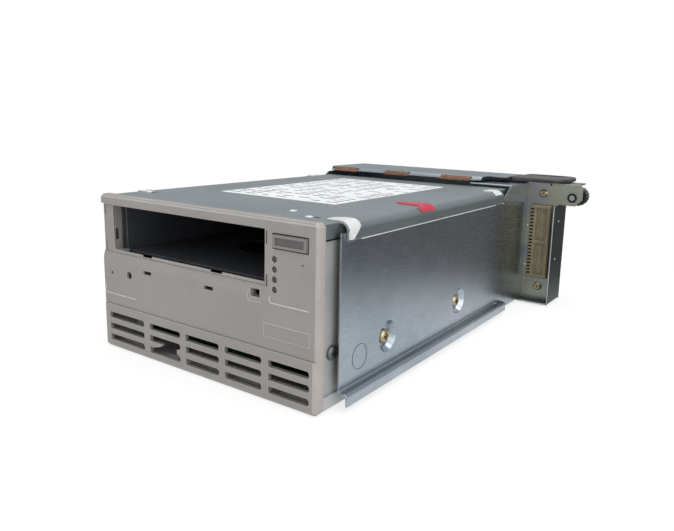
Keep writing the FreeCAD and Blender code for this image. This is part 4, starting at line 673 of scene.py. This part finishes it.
away = addNode(paleTree, "ShaderNodeVectorMath", {"operation": "LENGTH"}, {0: floorPlace}).outputs["Value"]
whiteShare = addNode(paleTree, "ShaderNodeMapRange", {"From Min": studio["near"], "From Max": studio["far"],
                                                      "To Min": 1 - studio["shadowShare"], "To Max": 1.0},
                     {"Value": away}).outputs[0]
across = addNode(paleTree, "ShaderNodeVectorMath", {"operation": "DOT_PRODUCT", 1: studio["fadeWay"]},
                 {0: floorPlace}).outputs["Value"]
fading = addNode(paleTree, "ShaderNodeMapRange", {
    "interpolation_type": "SMOOTHSTEP", "From Min": studio["fadeFrom"], "From Max": studio["fadeTo"],
    "To Min": studio["bandLight"], "To Max": studio["bandDark"]}, {"Value": across}).outputs[0]
rays = addNode(paleTree, "ShaderNodeLightPath").outputs
white = addNode(paleTree, "ShaderNodeEmission", {"Strength": 1.0})
# to glossy rays the floor glows with the fading band: a painted reflection
paintedReflection = addNode(paleTree, "ShaderNodeEmission", {}, {"Strength": fading})
seen = addNode(paleTree, "ShaderNodeMath", {"operation": "MULTIPLY"},
               {0: rays["Is Camera Ray"], 1: whiteShare})
plain = addNode(paleTree, "ShaderNodeMixShader", {}, {0: seen.outputs[0], 1: paleShader.outputs[0],
                                                      2: white.outputs[0]})
mixed = addNode(paleTree, "ShaderNodeMixShader", {}, {0: rays["Is Glossy Ray"], 1: plain.outputs[0],
                                                      2: paintedReflection.outputs[0]})
paleTree.links.new(mixed.outputs[0], paleTree.nodes["Material Output"].inputs["Surface"])
sheet.materials.append(pale)

world = bpy.data.worlds.new("studio")
bpy.context.scene.world = world
world.use_nodes = True
worldTree = world.node_tree
sky = worldTree.nodes["Background"]
ways = addNode(worldTree, "ShaderNodeLightPath").outputs
shown = addNode(worldTree, "ShaderNodeMath", {"operation": "MAXIMUM"}, {0: ways["Is Camera Ray"],
                                                                       1: ways["Is Transmission Ray"]})
level = addNode(worldTree, "ShaderNodeMapRange", {"To Min": studio["worldLight"], "To Max": 1.0},
                {"Value": shown.outputs[0]})
worldTree.links.new(level.outputs[0], sky.inputs["Strength"])
sky.inputs["Color"].default_value = (1.0, 1.0, 1.0, 1.0)

# Places and sizes in metres, power in watts.
lamps = {
    "overhead": {"at": (0.1, 0.0, 1.3), "aim": (0.0, 0.05, 0.0), "size": 1.2, "power": 14},
    "frontLeft": {"at": (-0.9, -1.2, 0.7), "aim": (0.0, 0.0, 0.04), "size": 1.8, "power": 10.5},
    "right": {"at": (1.2, -0.5, 0.5), "aim": (0.07, 0.05, 0.04), "size": 1.8, "power": 17},
}
for name, lamp in lamps.items():
    light = bpy.data.lights.new(name, "AREA")
    light.size, light.energy = lamp["size"], lamp["power"]
    holder = bpy.data.objects.new(name, light)
    bpy.context.scene.collection.objects.link(holder)
    holder.location = lamp["at"]
    holder.rotation_euler = (Vector(lamp["aim"]) - Vector(lamp["at"])).to_track_quat("-Z", "Y").to_euler()

view = {
    "place": (227.52, -198.31, 126.12),       # millimetres from the bezel's lower front edge
    "right": (0.82541, 0.56399, 0.02495),
    "up": (-0.12449, 0.13874, 0.98247),
    "lens": 33.57, "sensor": 36.0, "shift": (-0.0302, -0.0394), "nearest": 0.01,
}
lens = bpy.data.cameras.new("mainView")
lens.lens, lens.sensor_width = view["lens"], view["sensor"]
lens.shift_x, lens.shift_y = view["shift"]
lens.clip_start = view["nearest"]
camera = bpy.data.objects.new("mainView", lens)
bpy.context.scene.collection.objects.link(camera)
right, up = Vector(view["right"]).normalized(), Vector(view["up"]).normalized()
back = right.cross(up).normalized()
turned = Matrix((right, back.cross(right), back)).transposed().to_4x4()
camera.matrix_world = Matrix.Translation(at(*view["place"])) @ turned
bpy.context.scene.camera = camera
bpy.context.scene.view_settings.view_transform = "Standard"
